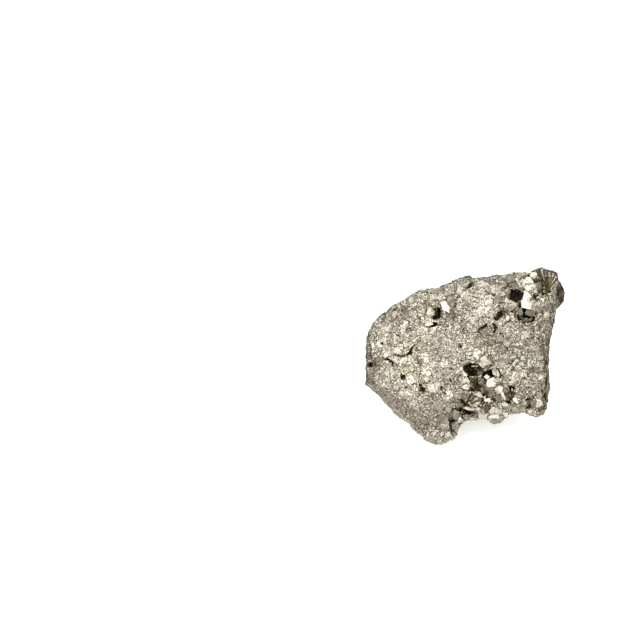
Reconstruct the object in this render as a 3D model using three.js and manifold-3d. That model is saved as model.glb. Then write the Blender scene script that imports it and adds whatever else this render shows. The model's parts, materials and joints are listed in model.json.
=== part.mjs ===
// A rough chunk of massive pyrite, 50 mm across: one grown piece, broken out of its vein.
// It is a sugary, pitted mass with a broad broken face, a knob of bladed crystals at its upper right,
// nests of bright cubes beside deep pits, and a crack in from the left edge.
//
// Everything is drawn in the frame of the broad face, in millimetres: x to the right, y up across the
// face, z out of it. The underside is cut level, the face is leaned back, and the origin is put in the
// middle under the chunk with +Z up.

import * as THREE from "three";
import { ConvexGeometry } from "three/addons/geometries/ConvexGeometry.js";
import { mergeVertices } from "three/addons/utils/BufferGeometryUtils.js";
import Module from "manifold-3d";

const wasm = await Module();
wasm.setup();

// Driving dimensions, in millimetres and degrees.
const FACE_DEPTH = 10.5; // how far the broad face stands in front of the outline
const BACK_DEPTH = 19; // how far the back reaches behind it
const BOXINESS = 2.9; // 2 is an ellipse, and more is squarer
const LEAN = 55; // the broad face is tipped up this far from lying flat
const BASE_DROP = 18.1; // the level underside, this far below the middle of the chunk
const MESH_DETAIL = 11; // the mass has 20 * (MESH_DETAIL + 1)^2 facets before it is cut
const MESH_STRETCH = [23, 20, 15]; // facets spread evenly over a mass of about these half sizes
const BREAK_BLEND = 1.4; // how softly one broken plane runs into the next

// Relief of the mass: [size across, height] of its swells and its lumps, and the height of its grain.
const SWELL = [9, 1.2];
const LUMPS = [3.8, 0.8];
const GRAIN = 0.26;
const RIM_RELIEF = 0.25; // share of the swells and lumps that is left at the outline
const NOISE_START = 50; // where in the noise the middle of the chunk lies
const UNEVENNESS = 0.55; // how far the corners of the facets stray, in facet sizes
const KNOB_RELIEF = 0.2; // how rough a knob is, as a share of its radius
const PIT_RELIEF = 0.34; // and how ragged a pit
const LARGE_PIT = 2.5; // pits wider than this get rounder walls

// The outline of the broad face, corner by corner, from the left end of the top edge anticlockwise.
const OUTLINE = [
  [-22.2, 6.5], [-23, 3], [-23, -2.4], [-22.9, -7.6], [-19.6, -10.9], [-16, -14.5], [-11.5, -18.2],
  [-8.7, -21], [-5, -22.3], [-1.9, -21.6], [-0.3, -19.5], [1.2, -17], [3.8, -16], [7.5, -15.6],
  [12, -14.8], [17, -14.3], [20.6, -13.6], [22.7, -11], [23, -6.8], [22.5, -1.5], [23, 4.2],
  [24.1, 8], [24.8, 11.8], [22.6, 17], [18, 20.4], [13.7, 20.4], [9.7, 19.9], [6, 19.3], [2.2, 19.2],
  [0, 18.4], [-3.2, 17], [-7.3, 16.6], [-10, 16.2], [-14.9, 12.7], [-19.7, 9.6],
];

// Broken planes that cut the mass back: [x, y, z of the outward normal, distance from the middle].
const BREAKS = [
  [-0.2, 0.12, 1, 9.6], // the left half of the broad face
  [0.2, -0.1, 1, 9.9], // its right half
  [-0.1, -0.62, 1, 14.2], // its foot
  [0.95, -0.1, 0.5, 22.6], // the strip down the right edge
  [-0.95, 0, 0.55, 22.2], // the strip down the left edge
  [-0.5, -0.62, 0.45, 19.2], // the bevel at the lower left
  [0.1, 0.75, -0.62, 18.2], // the back, above
  [-0.72, 0.3, -0.62, 18.6], // the back, to the left
  [0.74, 0.1, -0.68, 19.2], // the back, to the right
  [0.55, -0.6, -0.6, 21], // the flank under the right end
  [-0.62, -0.5, -0.66, 19.4], // the flank under the left end
  [0.05, -0.1, -1, 17.4], // the back itself
];

// Wide swells and hollows of the broad face: [x, y, reach, height].
const FACE_FORMS = [
  [-15.5, 4.5, 6.5, 0.7], // the lobe above the crack
  [-13, -7, 6, 0.5], // the lobe below it
  [-3, 5, 7, -0.5],
  [6, 12, 5.5, 0.8], // the ridge between the seams
  [17.5, 13.6, 4.2, -1.7], // the hollow that holds the upper nest
  [9.4, -8.8, 4.6, -1.9], // the hollow that holds the lower nest
  [1.2, -14.6, 3, -1.2], // and the one beside the foot
  [16.5, -1.5, 5, 0.7],
  [18.4, -11.5, 3, 0.5],
  [-6, -15.5, 4.5, 0.7],
];

// The same round the back and the flanks: [x, y, z, reach, height].
const BACK_FORMS = [
  [-15, 7, -9, 5, 1.9], // lobes of the upper back
  [1, 14, -8, 5, 1.7],
  [13, 6, -12, 5.5, 1.8],
  [-3, 3, -17, 4.5, -1.8], // the saddle between them
  [8, -8, -13, 4.5, 1.6],
  [-12, -5, -13, 5, 1.5],
  [20, -4, -7, 4, 1.3],
  [19, 3, -8, 3, -1.5],
  [-21, 1, -5, 3.5, -1.2],
  [-6, 9, -13, 3.5, -1.5],
];

// Rounded masses grown onto the chunk: [x, y, z, radii across, up and out].
const KNOBS = [
  [21.5, 17.3, 0.4, 4, 4.7, 5], // the knob at the upper right
  [23.9, 15.1, -2.2, 3.1, 4.1, 4], // the smooth shoulder beside it
  [9.3, -13.2, 2.2, 3.6, 3.8, 3.8], // the lump under the lower nest
  [19, -12.4, 1.6, 2.9, 3.2, 3.4],
  [-5, -18, 1.2, 5, 4, 3.8],
  [12.6, 17.6, 3, 4.4, 2.8, 3.4],
];

// Pits in the broad face: [x, y, width, height, depth, degrees turned].
const PITS = [
  [13.4, 15, 4, 2.9, 4.6, 10], // beside the upper nest
  [15.7, 10.9, 4.8, 2.1, 3.8, -42],
  [9.2, 9.8, 3.2, 1.3, 2.6, 52],
  [20.9, 15.6, 3.4, 1.2, 2.4, 24], // below the blades of the knob
  [-4.9, 10.6, 3, 2.3, 3, -35], // the three-sided pit
  [-6.6, 7.6, 2, 0.9, 1.3, 5],
  [2.9, -3.4, 4.6, 3, 4.8, -14], // the deepest, in the middle
  [7.2, -4.3, 4.2, 1.7, 3.4, 14],
  [12.6, -8.4, 1.7, 2.3, 2.8, 0],
  [1.6, -13.6, 4, 1.5, 3, -22],
  [1.4, -16.6, 1.5, 2.2, 2.4, 30],
  [-14.1, -5.2, 1.2, 1.2, 1.6, 0],
  [-9.2, -8.2, 1.1, 1.9, 2, 15],
  [-4.1, -8.3, 1.3, 0.9, 1.4, 30],
  [-12.3, 0.5, 1.7, 0.9, 1.8, 45],
];

// Pits round the sides and the back: [direction x, y, z, width, height, depth].
const HIDDEN_PITS = [
  [-1, 0.35, -0.25, 3.4, 2.2, 3],
  [0.2, 1, -0.35, 4.4, 2.4, 3.6],
  [0.95, -0.15, -0.55, 3.8, 2.6, 3.4],
  [-0.35, 0.25, -1, 4.6, 3, 4.2],
  [0.45, 0.3, -1, 3, 2.2, 2.6],
  [-0.55, -0.6, -0.3, 2.6, 1.8, 2.2],
];

// Cracks and seams in the broad face: width and depth, then the corners they run through.
const CRACKS = [
  { wide: 0.8, deep: 1.5, path: [[-22.9, -2.2], [-20, -2.4], [-17.6, -1.5], [-16, -2.2]] },
  { wide: 0.6, deep: 1.1, path: [[-16, -2.2], [-14, -0.4], [-12.4, 0.3], [-10.8, 2.4]] },
  { wide: 0.6, deep: 0.9, path: [[-2, 12.2], [0.9, 15.6], [3.8, 18.6]] },
  { wide: 0.7, deep: 1.1, path: [[1.8, 3.1], [5.6, 5.3], [8.7, 7.2], [9.6, 10.6]] },
];

// Large crystals in the broad face: [x, y, size, height above the face in sizes, turns about x, y and z].
const CUBE = "cube";
const PYRITOHEDRON = "pyritohedron";
const LARGE_CRYSTALS = [
  [CUBE, 17.4, 18.6, 2.8, 0, 24, 30, 12],
  [CUBE, 17.6, 16.6, 3, 0.1, 12, -18, 8],
  [PYRITOHEDRON, 16.9, 13.2, 3.3, 0.15, 20, 15, 40],
  [CUBE, 19.6, 12.4, 3.2, 0.1, -28, 22, 35],
  [CUBE, 12.6, 11.7, 3.1, 0, 8, 12, 4],
  [CUBE, 12.3, 18.2, 2.2, 0, 35, 20, 15],
  [CUBE, -3.2, 12.3, 3, -0.05, -20, 34, 47],
  [PYRITOHEDRON, -1.8, 13.7, 2.2, 0, 0, 30, 20],
  [CUBE, -6.8, 11, 2.5, -0.2, 12, -24, 12],
  [CUBE, 6.5, -1.6, 3, 0, 20, -12, 28],
  [PYRITOHEDRON, 8.8, -6.6, 3.1, 0.2, 10, 40, 10],
  [CUBE, 6.4, -8, 3.1, 0.05, -14, 26, 38],
  [CUBE, 8.6, -9.4, 2.5, 0.15, 18, 14, 50],
  [CUBE, 10.4, -10.6, 2.3, 0.15, -24, 30, 22],
  [CUBE, 10.9, -8.7, 2, 0.1, 30, 10, 70],
  [CUBE, 14.2, -10.4, 2.7, -0.15, 14, -32, 62],
  [PYRITOHEDRON, 3.5, -11.2, 3.6, 0.05, 32, 20, 5],
  [CUBE, 5.8, -12.4, 2.4, 0.1, 22, 40, 30],
  [CUBE, -0.6, -15, 3.2, 0, 12, 36, 14],
  [CUBE, -2, -19.4, 2.5, 0, 34, 18, 40],
  [CUBE, 18.4, -11.6, 2.2, 0, 8, 30, 18],
  [PYRITOHEDRON, 18.7, -13.8, 2.3, 0, 30, 12, 30],
  [CUBE, -14.8, 11.8, 1.8, -0.15, 30, 30, 20],
  [CUBE, 15, -0.9, 2, -0.05, 24, 34, 12],
];

// Nests of smaller crystals: middle and spread on the broad face, how many, least and most size.
const NESTS = [
  { at: [19.5, 15.4], spread: 4.6, count: 11, size: [1.1, 2], seed: 11 },
  { at: [8.6, -10.2], spread: 5.6, count: 13, size: [1, 2], seed: 23 },
  { at: [-4, 11.4], spread: 2.9, count: 4, size: [0.9, 1.4], seed: 5 },
  { at: [14.6, -1.4], spread: 3, count: 4, size: [0.9, 1.4], seed: 8 },
];

// The same round the sides and the back, about a direction from the middle.
const HIDDEN_NESTS = [
  { towards: [0.3, 0.9, -0.5], spread: 0.3, count: 8, size: [1.3, 2.8], seed: 31 },
  { towards: [-0.9, 0.2, -0.5], spread: 0.28, count: 7, size: [1.2, 2.4], seed: 37 },
  { towards: [0.8, -0.3, -0.6], spread: 0.3, count: 7, size: [1.2, 2.6], seed: 41 },
  { towards: [-0.1, 0, -1], spread: 0.34, count: 8, size: [1.4, 3], seed: 43 },
];

// A crystal grows on the chunk only where at least this share of it is sunk in.
const HELD_SHARE = 0.2;

// The blades that fan up out of the knob: foot of the fan, the angles of the first and the last blade,
// how far they tip forward, and each blade's length, half its depth and its thickness.
const FAN = { foot: [22.2, 15.6, 4.2], first: 71, last: 150, tip: 14, count: 6, blade: [5.1, 2.4, 1.1] };

const radians = THREE.MathUtils.degToRad;

// Repeatable random numbers from 0 to 1.
function dice(seed) {
  let state = seed >>> 0;
  return () => {
    state = (Math.imul(state, 1664525) + 1013904223) >>> 0;
    return state / 2 ** 32;
  };
}

// A random value from 0 to 1 for each point of a whole-number lattice.
function latticeValue(i, j, k, seed = 0) {
  let h = Math.imul(i, 374761393) ^ Math.imul(j, 668265263) ^ Math.imul(k, 1274126177) ^ (seed * 7919);
  h = Math.imul(h ^ (h >>> 13), 1103515245);
  return ((h ^ (h >>> 16)) >>> 0) / 2 ** 32;
}

// Smooth noise from -1 to 1, which repeats over about one unit.
function noise(x, y, z) {
  const cell = [x, y, z].map(Math.floor);
  const share = [x, y, z].map((v, n) => THREE.MathUtils.smoothstep(v - cell[n], 0, 1));
  let sum = 0;
  for (let corner = 0; corner < 8; corner += 1) {
    const step = [corner & 1, (corner >> 1) & 1, corner >> 2];
    const weight = step.reduce((w, s, n) => w * (s ? share[n] : 1 - share[n]), 1);
    sum += weight * latticeValue(cell[0] + step[0], cell[1] + step[1], cell[2] + step[2]);
  }
  return sum * 2 - 1;
}

function smoothLess(a, b, blend) {
  const overlap = Math.max(blend - Math.abs(a - b), 0) / blend;
  return Math.min(a, b) - (overlap * overlap * blend) / 4;
}

// The outline as its distance from the middle by angle.
const outlineSamples = new THREE.CatmullRomCurve3(
  OUTLINE.map(([x, y]) => new THREE.Vector3(x, y, 0)),
  true,
  "centripetal",
)
  .getPoints(OUTLINE.length * 6)
  .map((p) => ({ angle: Math.atan2(p.y, p.x), radius: Math.hypot(p.x, p.y) }))
  .sort((a, b) => a.angle - b.angle);

function outlineRadius(angle) {
  const after = outlineSamples.findIndex((s) => s.angle > angle);
  const b = outlineSamples[Math.max(after, 0)];
  const a = outlineSamples.at(after > 0 ? after - 1 : -1);
  const turn = 2 * Math.PI;
  const gap = (b.angle - a.angle + turn) % turn || turn;
  const share = ((angle - a.angle + turn) % turn) / gap;
  return THREE.MathUtils.lerp(a.radius, b.radius, Math.min(share, 1));
}

// How far the surface of the mass lies from the middle, in a direction of length 1.
function massRadius(d) {
  const across = Math.hypot(d.x, d.y);
  const depth = d.z > 0 ? FACE_DEPTH : BACK_DEPTH;
  const rim = (across / outlineRadius(Math.atan2(d.y, d.x))) ** BOXINESS;
  let radius = (rim + (Math.abs(d.z) / depth) ** BOXINESS) ** (-1 / BOXINESS);
  for (const [x, y, z, distance] of BREAKS) {
    const facing = (d.x * x + d.y * y + d.z * z) / Math.hypot(x, y, z);
    if (facing > 0.05) radius = smoothLess(radius, distance / facing, BREAK_BLEND);
  }
  const [px, py, pz] = d.toArray().map((v) => v * radius);
  for (const [x, y, reach, height] of FACE_FORMS) {
    const away = Math.hypot(px - x, py - y) / reach;
    if (d.z > 0) radius += height * d.z * Math.exp(-away * away);
  }
  for (const [x, y, z, reach, height] of BACK_FORMS) {
    const away = Math.hypot(px - x, py - y, pz - z) / reach;
    radius += height * Math.exp(-away * away);
  }
  const relief = ([size, height]) => height * noise(...[px, py, pz].map((v) => v / size + NOISE_START));
  const share = THREE.MathUtils.lerp(RIM_RELIEF, 1, Math.min(1, Math.abs(d.z) * 3));
  const grain = GRAIN * (2 * latticeValue(d.x * 997, d.y * 991, d.z * 983) - 1);
  return radius + share * (relief(SWELL) + relief(LUMPS)) + grain;
}

// A closed geometry as a solid that can be joined and cut.
function solidFrom(geometry) {
  const bare = new THREE.BufferGeometry();
  bare.setAttribute("position", geometry.getAttribute("position").clone());
  if (geometry.index) bare.setIndex(geometry.index.clone());
  const merged = mergeVertices(bare, 1e-4);
  return new wasm.Manifold(
    new wasm.Mesh({
      numProp: 3,
      vertProperties: merged.attributes.position.array,
      triVerts: new Uint32Array(merged.index.array),
    }),
  );
}

function geometryFrom(solid) {
  const mesh = solid.getMesh();
  const corners = new Float32Array(mesh.vertProperties);
  const geometry = new THREE.BufferGeometry();
  geometry.setAttribute("position", new THREE.BufferAttribute(corners, 3));
  geometry.setIndex(new THREE.BufferAttribute(mesh.triVerts, 1));
  return geometry;
}

// A ball of flat, uneven facets whose every corner is moved to the distance that radiusAt gives.
function roughBall(detail, radiusAt, stretch = [1, 1, 1]) {
  const geometry = new THREE.IcosahedronGeometry(1, detail);
  const corners = geometry.getAttribute("position");
  const stray = UNEVENNESS / (detail + 1);
  for (let n = 0; n < corners.count; n += 1) {
    // Rounded, so that the corners that facets share stay shared.
    const corner = [corners.getX(n), corners.getY(n), corners.getZ(n)].map((v) => Math.round(v * 1e4));
    const moved = corner.map((v, axis) => v / 1e4 + stray * (latticeValue(...corner, axis) - 0.5));
    const d = new THREE.Vector3(...moved).multiply(new THREE.Vector3(...stretch)).normalize();
    d.multiplyScalar(radiusAt(d.clone()));
    corners.setXYZ(n, ...d);
  }
  return geometry;
}

function placed(geometry, position, turns = [0, 0, 0], scale = [1, 1, 1]) {
  const rotation = new THREE.Quaternion().setFromEuler(new THREE.Euler(...turns.map(radians)));
  const matrix = new THREE.Matrix4().compose(position, rotation, new THREE.Vector3(...scale));
  return geometry.clone().applyMatrix4(matrix);
}

// The point of the mass in front of (x, y), found by halving, and the point in a direction.
function pointOnFace(x, y) {
  let low = 0;
  let high = 2 * FACE_DEPTH;
  for (let n = 0; n < 24; n += 1) {
    const middle = (low + high) / 2;
    const p = new THREE.Vector3(x, y, middle);
    const length = p.length();
    if (length < massRadius(p.normalize())) low = middle;
    else high = middle;
  }
  return new THREE.Vector3(x, y, low);
}

function pointTowards(direction) {
  const d = new THREE.Vector3(...direction).normalize();
  return d.multiplyScalar(massRadius(d));
}

function knobSolid([x, y, z, ...radii]) {
  const skin = (d) => 1 + KNOB_RELIEF * noise(d.x * 2 + x, d.y * 2 + y, d.z * 2 + 9);
  return solidFrom(placed(roughBall(2, skin), new THREE.Vector3(x, y, z), [0, 0, 0], radii));
}

// A pit is a ragged lump of nothing, half sunk in the surface. Small ones have few facets.
function pitSolid(position, turns, [wide, high, deep], seed) {
  const detail = Math.max(wide, high) > LARGE_PIT ? 1 : 0;
  const wall = (d) => 1 + PIT_RELIEF * noise(d.x * 1.7 + seed, d.y * 1.7 + 3, d.z * 1.7 + seed);
  const ragged = roughBall(detail, wall);
  return solidFrom(placed(ragged, position, turns, [wide / 2, high / 2, deep]));
}

function hiddenPitSolid([x, y, z, ...size], n) {
  const out = new THREE.Vector3(x, y, z).normalize();
  const facing = new THREE.Quaternion().setFromUnitVectors(new THREE.Vector3(0, 0, 1), out);
  const turns = new THREE.Euler().setFromQuaternion(facing).toArray().slice(0, 3);
  return pitSolid(pointTowards([x, y, z]), turns.map(THREE.MathUtils.radToDeg), size, n + 40);
}

// A crack is a row of V-shaped trenches, one along each stretch of its path. Their tops stand clear of
// the bumps of the face.
function crackSolids({ wide, deep, path }) {
  const clear = 0.9;
  const section = new THREE.Shape([
    new THREE.Vector2(-wide / 2, clear),
    new THREE.Vector2(0, -deep),
    new THREE.Vector2(wide / 2, clear),
  ]);
  const corners = path.map((corner) => pointOnFace(...corner));
  return corners.slice(1).map((end, n) => {
    const start = corners[n];
    const along = end.clone().sub(start);
    const options = { depth: along.length() + wide / 2, bevelEnabled: false };
    const trench = new THREE.ExtrudeGeometry(section, options);
    const side = along.clone().normalize();
    const up = new THREE.Vector3(0, 0, 1).projectOnPlane(side).normalize();
    const across = new THREE.Vector3().crossVectors(up, side);
    const matrix = new THREE.Matrix4().makeBasis(across, up, side).setPosition(start);
    return solidFrom(trench.applyMatrix4(matrix));
  });
}

// The two habits of the crystals, one unit across.
function cubeForm() {
  return new THREE.BoxGeometry(1, 1, 1);
}

// Twelve five-sided faces: eight corners of a cube, and a roof ridge over each of its faces.
function pyritohedronForm() {
  const half = 0.36;
  const ridge = 0.5;
  const corners = [];
  for (const a of [-1, 1]) {
    for (const b of [-1, 1]) {
      const long = a * half * (1 + ridge);
      const short = b * half * (1 - ridge * ridge);
      corners.push([0, long, short], [short, 0, long], [long, short, 0]);
      for (const c of [-1, 1]) corners.push([a * half, b * half, c * half]);
    }
  }
  return new ConvexGeometry(corners.map((c) => new THREE.Vector3(...c)));
}

const FORMS = { [CUBE]: cubeForm(), [PYRITOHEDRON]: pyritohedronForm() };

function largeCrystal([form, x, y, size, lift, ...turns]) {
  const position = pointOnFace(x, y);
  position.z += lift * size;
  return solidFrom(placed(FORMS[form], position, turns, [size, size, size]));
}

function nestCrystals({ at, towards, spread, count, size, seed }) {
  const roll = dice(seed);
  const around = () => (roll() + roll() - 1) * spread;
  return Array.from({ length: count }, () => {
    const position = at
      ? pointOnFace(at[0] + around(), at[1] + around())
      : pointTowards(towards.map((v) => v + around()));
    const across = THREE.MathUtils.lerp(...size, roll() ** 2);
    const turns = [roll(), roll(), roll()].map((v) => v * 90);
    const form = roll() < 0.7 ? CUBE : PYRITOHEDRON;
    return solidFrom(placed(FORMS[form], position, turns, [across, across, across]));
  });
}

function fanBlades({ foot, first, last, tip, count, blade }) {
  const [long, deep, thick] = blade;
  const form = new THREE.BoxGeometry(thick, long, deep * 2).translate(0, long / 2, 0);
  const twists = [-9, 0, 9];
  return Array.from({ length: count }, (_, n) => {
    const angle = THREE.MathUtils.lerp(first, last, n / (count - 1)) - 90;
    return solidFrom(placed(form, new THREE.Vector3(...foot), [tip, twists[n % 3], angle]));
  });
}

// The half space under the level base, as a box in the frame of the broad face.
function groundSolid() {
  const size = 200;
  const box = new THREE.BoxGeometry(size, size, size).translate(0, 0, -size / 2 - BASE_DROP);
  return solidFrom(box.applyMatrix4(new THREE.Matrix4().makeRotationX(radians(-LEAN))));
}

// A crystal joins the chunk only where it has something to grow on.
function grownOn(chunk, crystal) {
  const held = chunk.intersect(crystal).volume();
  return held > HELD_SHARE * crystal.volume() ? chunk.add(crystal) : chunk;
}

// The largest closed surface: crystals that met over a pit leave no sealed hollow behind them.
function outerBody(solid) {
  return solid.decompose().reduce((most, body) => (body.volume() > most.volume() ? body : most));
}

function chunkSolid() {
  let chunk = solidFrom(roughBall(MESH_DETAIL, massRadius, MESH_STRETCH));
  for (const knob of KNOBS) chunk = chunk.add(knobSolid(knob));
  PITS.forEach(([x, y, wide, high, deep, turn], n) => {
    chunk = chunk.subtract(pitSolid(pointOnFace(x, y), [0, 0, turn], [wide, high, deep], n));
  });
  HIDDEN_PITS.forEach((pit, n) => {
    chunk = chunk.subtract(hiddenPitSolid(pit, n));
  });
  for (const crack of CRACKS.flatMap(crackSolids)) chunk = chunk.subtract(crack);
  const crystals = [
    ...fanBlades(FAN),
    ...LARGE_CRYSTALS.map(largeCrystal),
    ...NESTS.flatMap(nestCrystals),
    ...HIDDEN_NESTS.flatMap(nestCrystals),
  ];
  return outerBody(crystals.reduce(grownOn, chunk).subtract(groundSolid()));
}

const pyrite = new THREE.Mesh(
  geometryFrom(chunkSolid()),
  new THREE.MeshStandardMaterial({ color: 0xa59f90, roughness: 0.4, metalness: 0.9, flatShading: true }),
);
pyrite.name = "pyrite_chunk";
pyrite.rotation.x = radians(LEAN);

const part = new THREE.Group();
part.add(pyrite);
part.updateMatrixWorld(true);
const reach = new THREE.Box3().setFromObject(part, true);
part.position.set(-(reach.min.x + reach.max.x) / 2, -(reach.min.y + reach.max.y) / 2, -reach.min.z);

export default part;
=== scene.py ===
"""The looks of a rough chunk of massive pyrite, about 50 mm across.

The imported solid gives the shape. Around it go a crumbled skin, the crisp crystals that stand out of it,
fans of thin blades, and the sugary grains that cover it, each a mesh of real facets. Lengths are metres,
and places and sizes on the broad face are millimetres.
"""

import json
import math
import random

import bmesh
import bpy
import numpy as np
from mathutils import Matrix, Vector, kdtree, noise
from mathutils.bvhtree import BVHTree

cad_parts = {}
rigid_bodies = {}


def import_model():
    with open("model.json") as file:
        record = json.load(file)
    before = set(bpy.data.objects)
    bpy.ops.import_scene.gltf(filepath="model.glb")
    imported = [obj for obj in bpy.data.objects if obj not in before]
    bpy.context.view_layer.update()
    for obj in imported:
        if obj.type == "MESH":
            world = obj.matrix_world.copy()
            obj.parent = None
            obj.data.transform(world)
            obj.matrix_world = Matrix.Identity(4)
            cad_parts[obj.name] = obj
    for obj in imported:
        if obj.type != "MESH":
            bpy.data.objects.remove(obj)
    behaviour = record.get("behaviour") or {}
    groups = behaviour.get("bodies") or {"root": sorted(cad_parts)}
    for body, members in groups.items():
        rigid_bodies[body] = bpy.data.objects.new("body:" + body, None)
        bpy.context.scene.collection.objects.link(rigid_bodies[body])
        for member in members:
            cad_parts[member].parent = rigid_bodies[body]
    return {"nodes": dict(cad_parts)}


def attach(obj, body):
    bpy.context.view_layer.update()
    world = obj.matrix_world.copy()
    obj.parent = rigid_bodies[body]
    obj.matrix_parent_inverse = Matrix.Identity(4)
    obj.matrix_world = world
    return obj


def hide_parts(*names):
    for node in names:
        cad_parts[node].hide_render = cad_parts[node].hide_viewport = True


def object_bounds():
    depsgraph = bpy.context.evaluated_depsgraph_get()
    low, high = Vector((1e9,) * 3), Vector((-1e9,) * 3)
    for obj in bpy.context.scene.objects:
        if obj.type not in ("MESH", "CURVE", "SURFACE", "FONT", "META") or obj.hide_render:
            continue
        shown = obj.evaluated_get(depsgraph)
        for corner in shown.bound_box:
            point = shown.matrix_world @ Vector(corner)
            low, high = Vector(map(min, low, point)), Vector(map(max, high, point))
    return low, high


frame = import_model()
cad_low, cad_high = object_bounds()

# Seeds. Without one, the noise vectors would start from the clock.
NOISE_SEED = 1
CRYSTAL_SEED = 7
BLADE_SEED = 5
TONE_SEED = 3
CHIP_SEED = 21
STREWING_SEED = 11  # of the first side, and the others follow
noise.seed_set(NOISE_SEED)

MM = 0.001
CHUNK = "pyrite_chunk"

# The camera, as the photograph has it: 630 pixels a side, 0.25 mm to a pixel at the chunk.
PHOTO_SIDE = 630
MM_PER_PIXEL = 0.25
FACE_MIDDLE_PIXEL = (458, 355)
LENS = 100
SENSOR = 36
CAMERA_ELEVATION = math.radians(35)

# The broad face: its middle, from the middle under the chunk, and its right, up and outward.
FACE_MIDDLE = Vector((-1.75, -1.53, 18.1)) * MM
FACE_RIGHT = Vector((1, 0, 0))
FACE_UP = Vector((0, math.sin(CAMERA_ELEVATION), math.cos(CAMERA_ELEVATION)))
FACE_OUT = Vector((0, -math.cos(CAMERA_ELEVATION), math.sin(CAMERA_ELEVATION)))
# Where the camera stands before the face: to its right, up and outward from the middle, in mm.
EYE_RIGHT = (PHOTO_SIDE / 2 - FACE_MIDDLE_PIXEL[0]) * MM_PER_PIXEL
EYE_UP = (FACE_MIDDLE_PIXEL[1] - PHOTO_SIDE / 2) * MM_PER_PIXEL
EYE_OUT = PHOTO_SIDE * MM_PER_PIXEL * LENS / SENSOR
RAY_START = 60  # how far before the face the solid is looked for, in mm
FACE_BACK = -6  # what lies further back than this is on another side, in mm
FISSURE_BACK = -8  # the fissures end this far back, in mm
SEAM_BACK = -2  # and the closed seams this far
# Half the chunk's size along the face's right, up and outward, and how much of it the front takes over.
HALF_SIZES = (24 * MM, 20 * MM, 14 * MM)
FRONT_SHARE = 0.25

# The skin of the mass between the crystals: size across and height of its lumps and broken planes.
SKIN_VOXEL = 0.25 * MM
SKIN_SINK = 0.16 * MM  # the skin lies this far inside the solid, and the grains make up for it
LUMPS = (2.6 * MM, 0.26 * MM)
PLANES = ((1.9 * MM, 0.4 * MM), (0.6 * MM, 0.17 * MM))
SMOOTH_FROM = 0.24  # the lower, the more of the wide planes are smooth and free of grains
UNDER_CRYSTAL = 0.1 * MM  # how far the skin is drawn in where a crystal covers it
MERGE = 0.001 * MM  # corners of the solid that are nearer than this are one
BASE_LAYER = 0.12 * MM  # what lies lower than this and faces down belongs to the level base
DOWNWARD = -0.8
SHOULDER_CALM = 0.7  # how much of the relief the shoulder lacks, and what is next to shown crystals
CLEAR_CALM = 0.6
CLEAR_EDGE = 0.3  # how wide the change is round a shown crystal, in mm

# Vugs near the crystals: size and depth. The web of fine cracks and the pores that are all over the mass:
# size of the cells, width and depth.
VUG = (1.5 * MM, 1.3 * MM)
WEB = (3.2 * MM, 0.12 * MM, 0.4 * MM)
PORES = (2.1 * MM, 0.38 * MM, 0.7 * MM)
PORE_FROM = 0.22  # the higher, the fewer cells have a pore
VUG_FROM = 0.04  # the higher, the fewer the vugs

FISSURE_WIDTH = 0.6  # half the width of a fissure, in the widths that are listed
FISSURE_WOBBLES = ((0.8 * MM, 0.18), (0.3 * MM, 0.12))  # its bends: how long, and how far to the side in mm
FISSURE_OPENING = (1.3 * MM, 0.7)  # how it opens and closes: over what length, and by what share
FISSURE_ROUND = 2.5  # the higher, the further round the sides the fissures go
FISSURE_FLOOR = 1.2  # the higher, the wider the flat floor of a fissure
# Seams of the solid that crystals have nearly closed: [how wide, what depth is left, (right, up) of their
# corners straight before the face], all in mm.
CLOSED_SEAMS = [
    [1.0, 0.28, (1.2, 2.7), (5.6, 5.3), (8.7, 7.2), (9.4, 8.6)],
    [1.0, 0.25, (-2.4, 11.8), (0.5, 15), (4.2, 18.9)],
]
GROOVE_HALF = 0.3  # half the width of the groove that is left of a closed seam, in mm
SEAM_RISE = 2  # a point that would rise further than this belongs to something else, in mm
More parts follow.
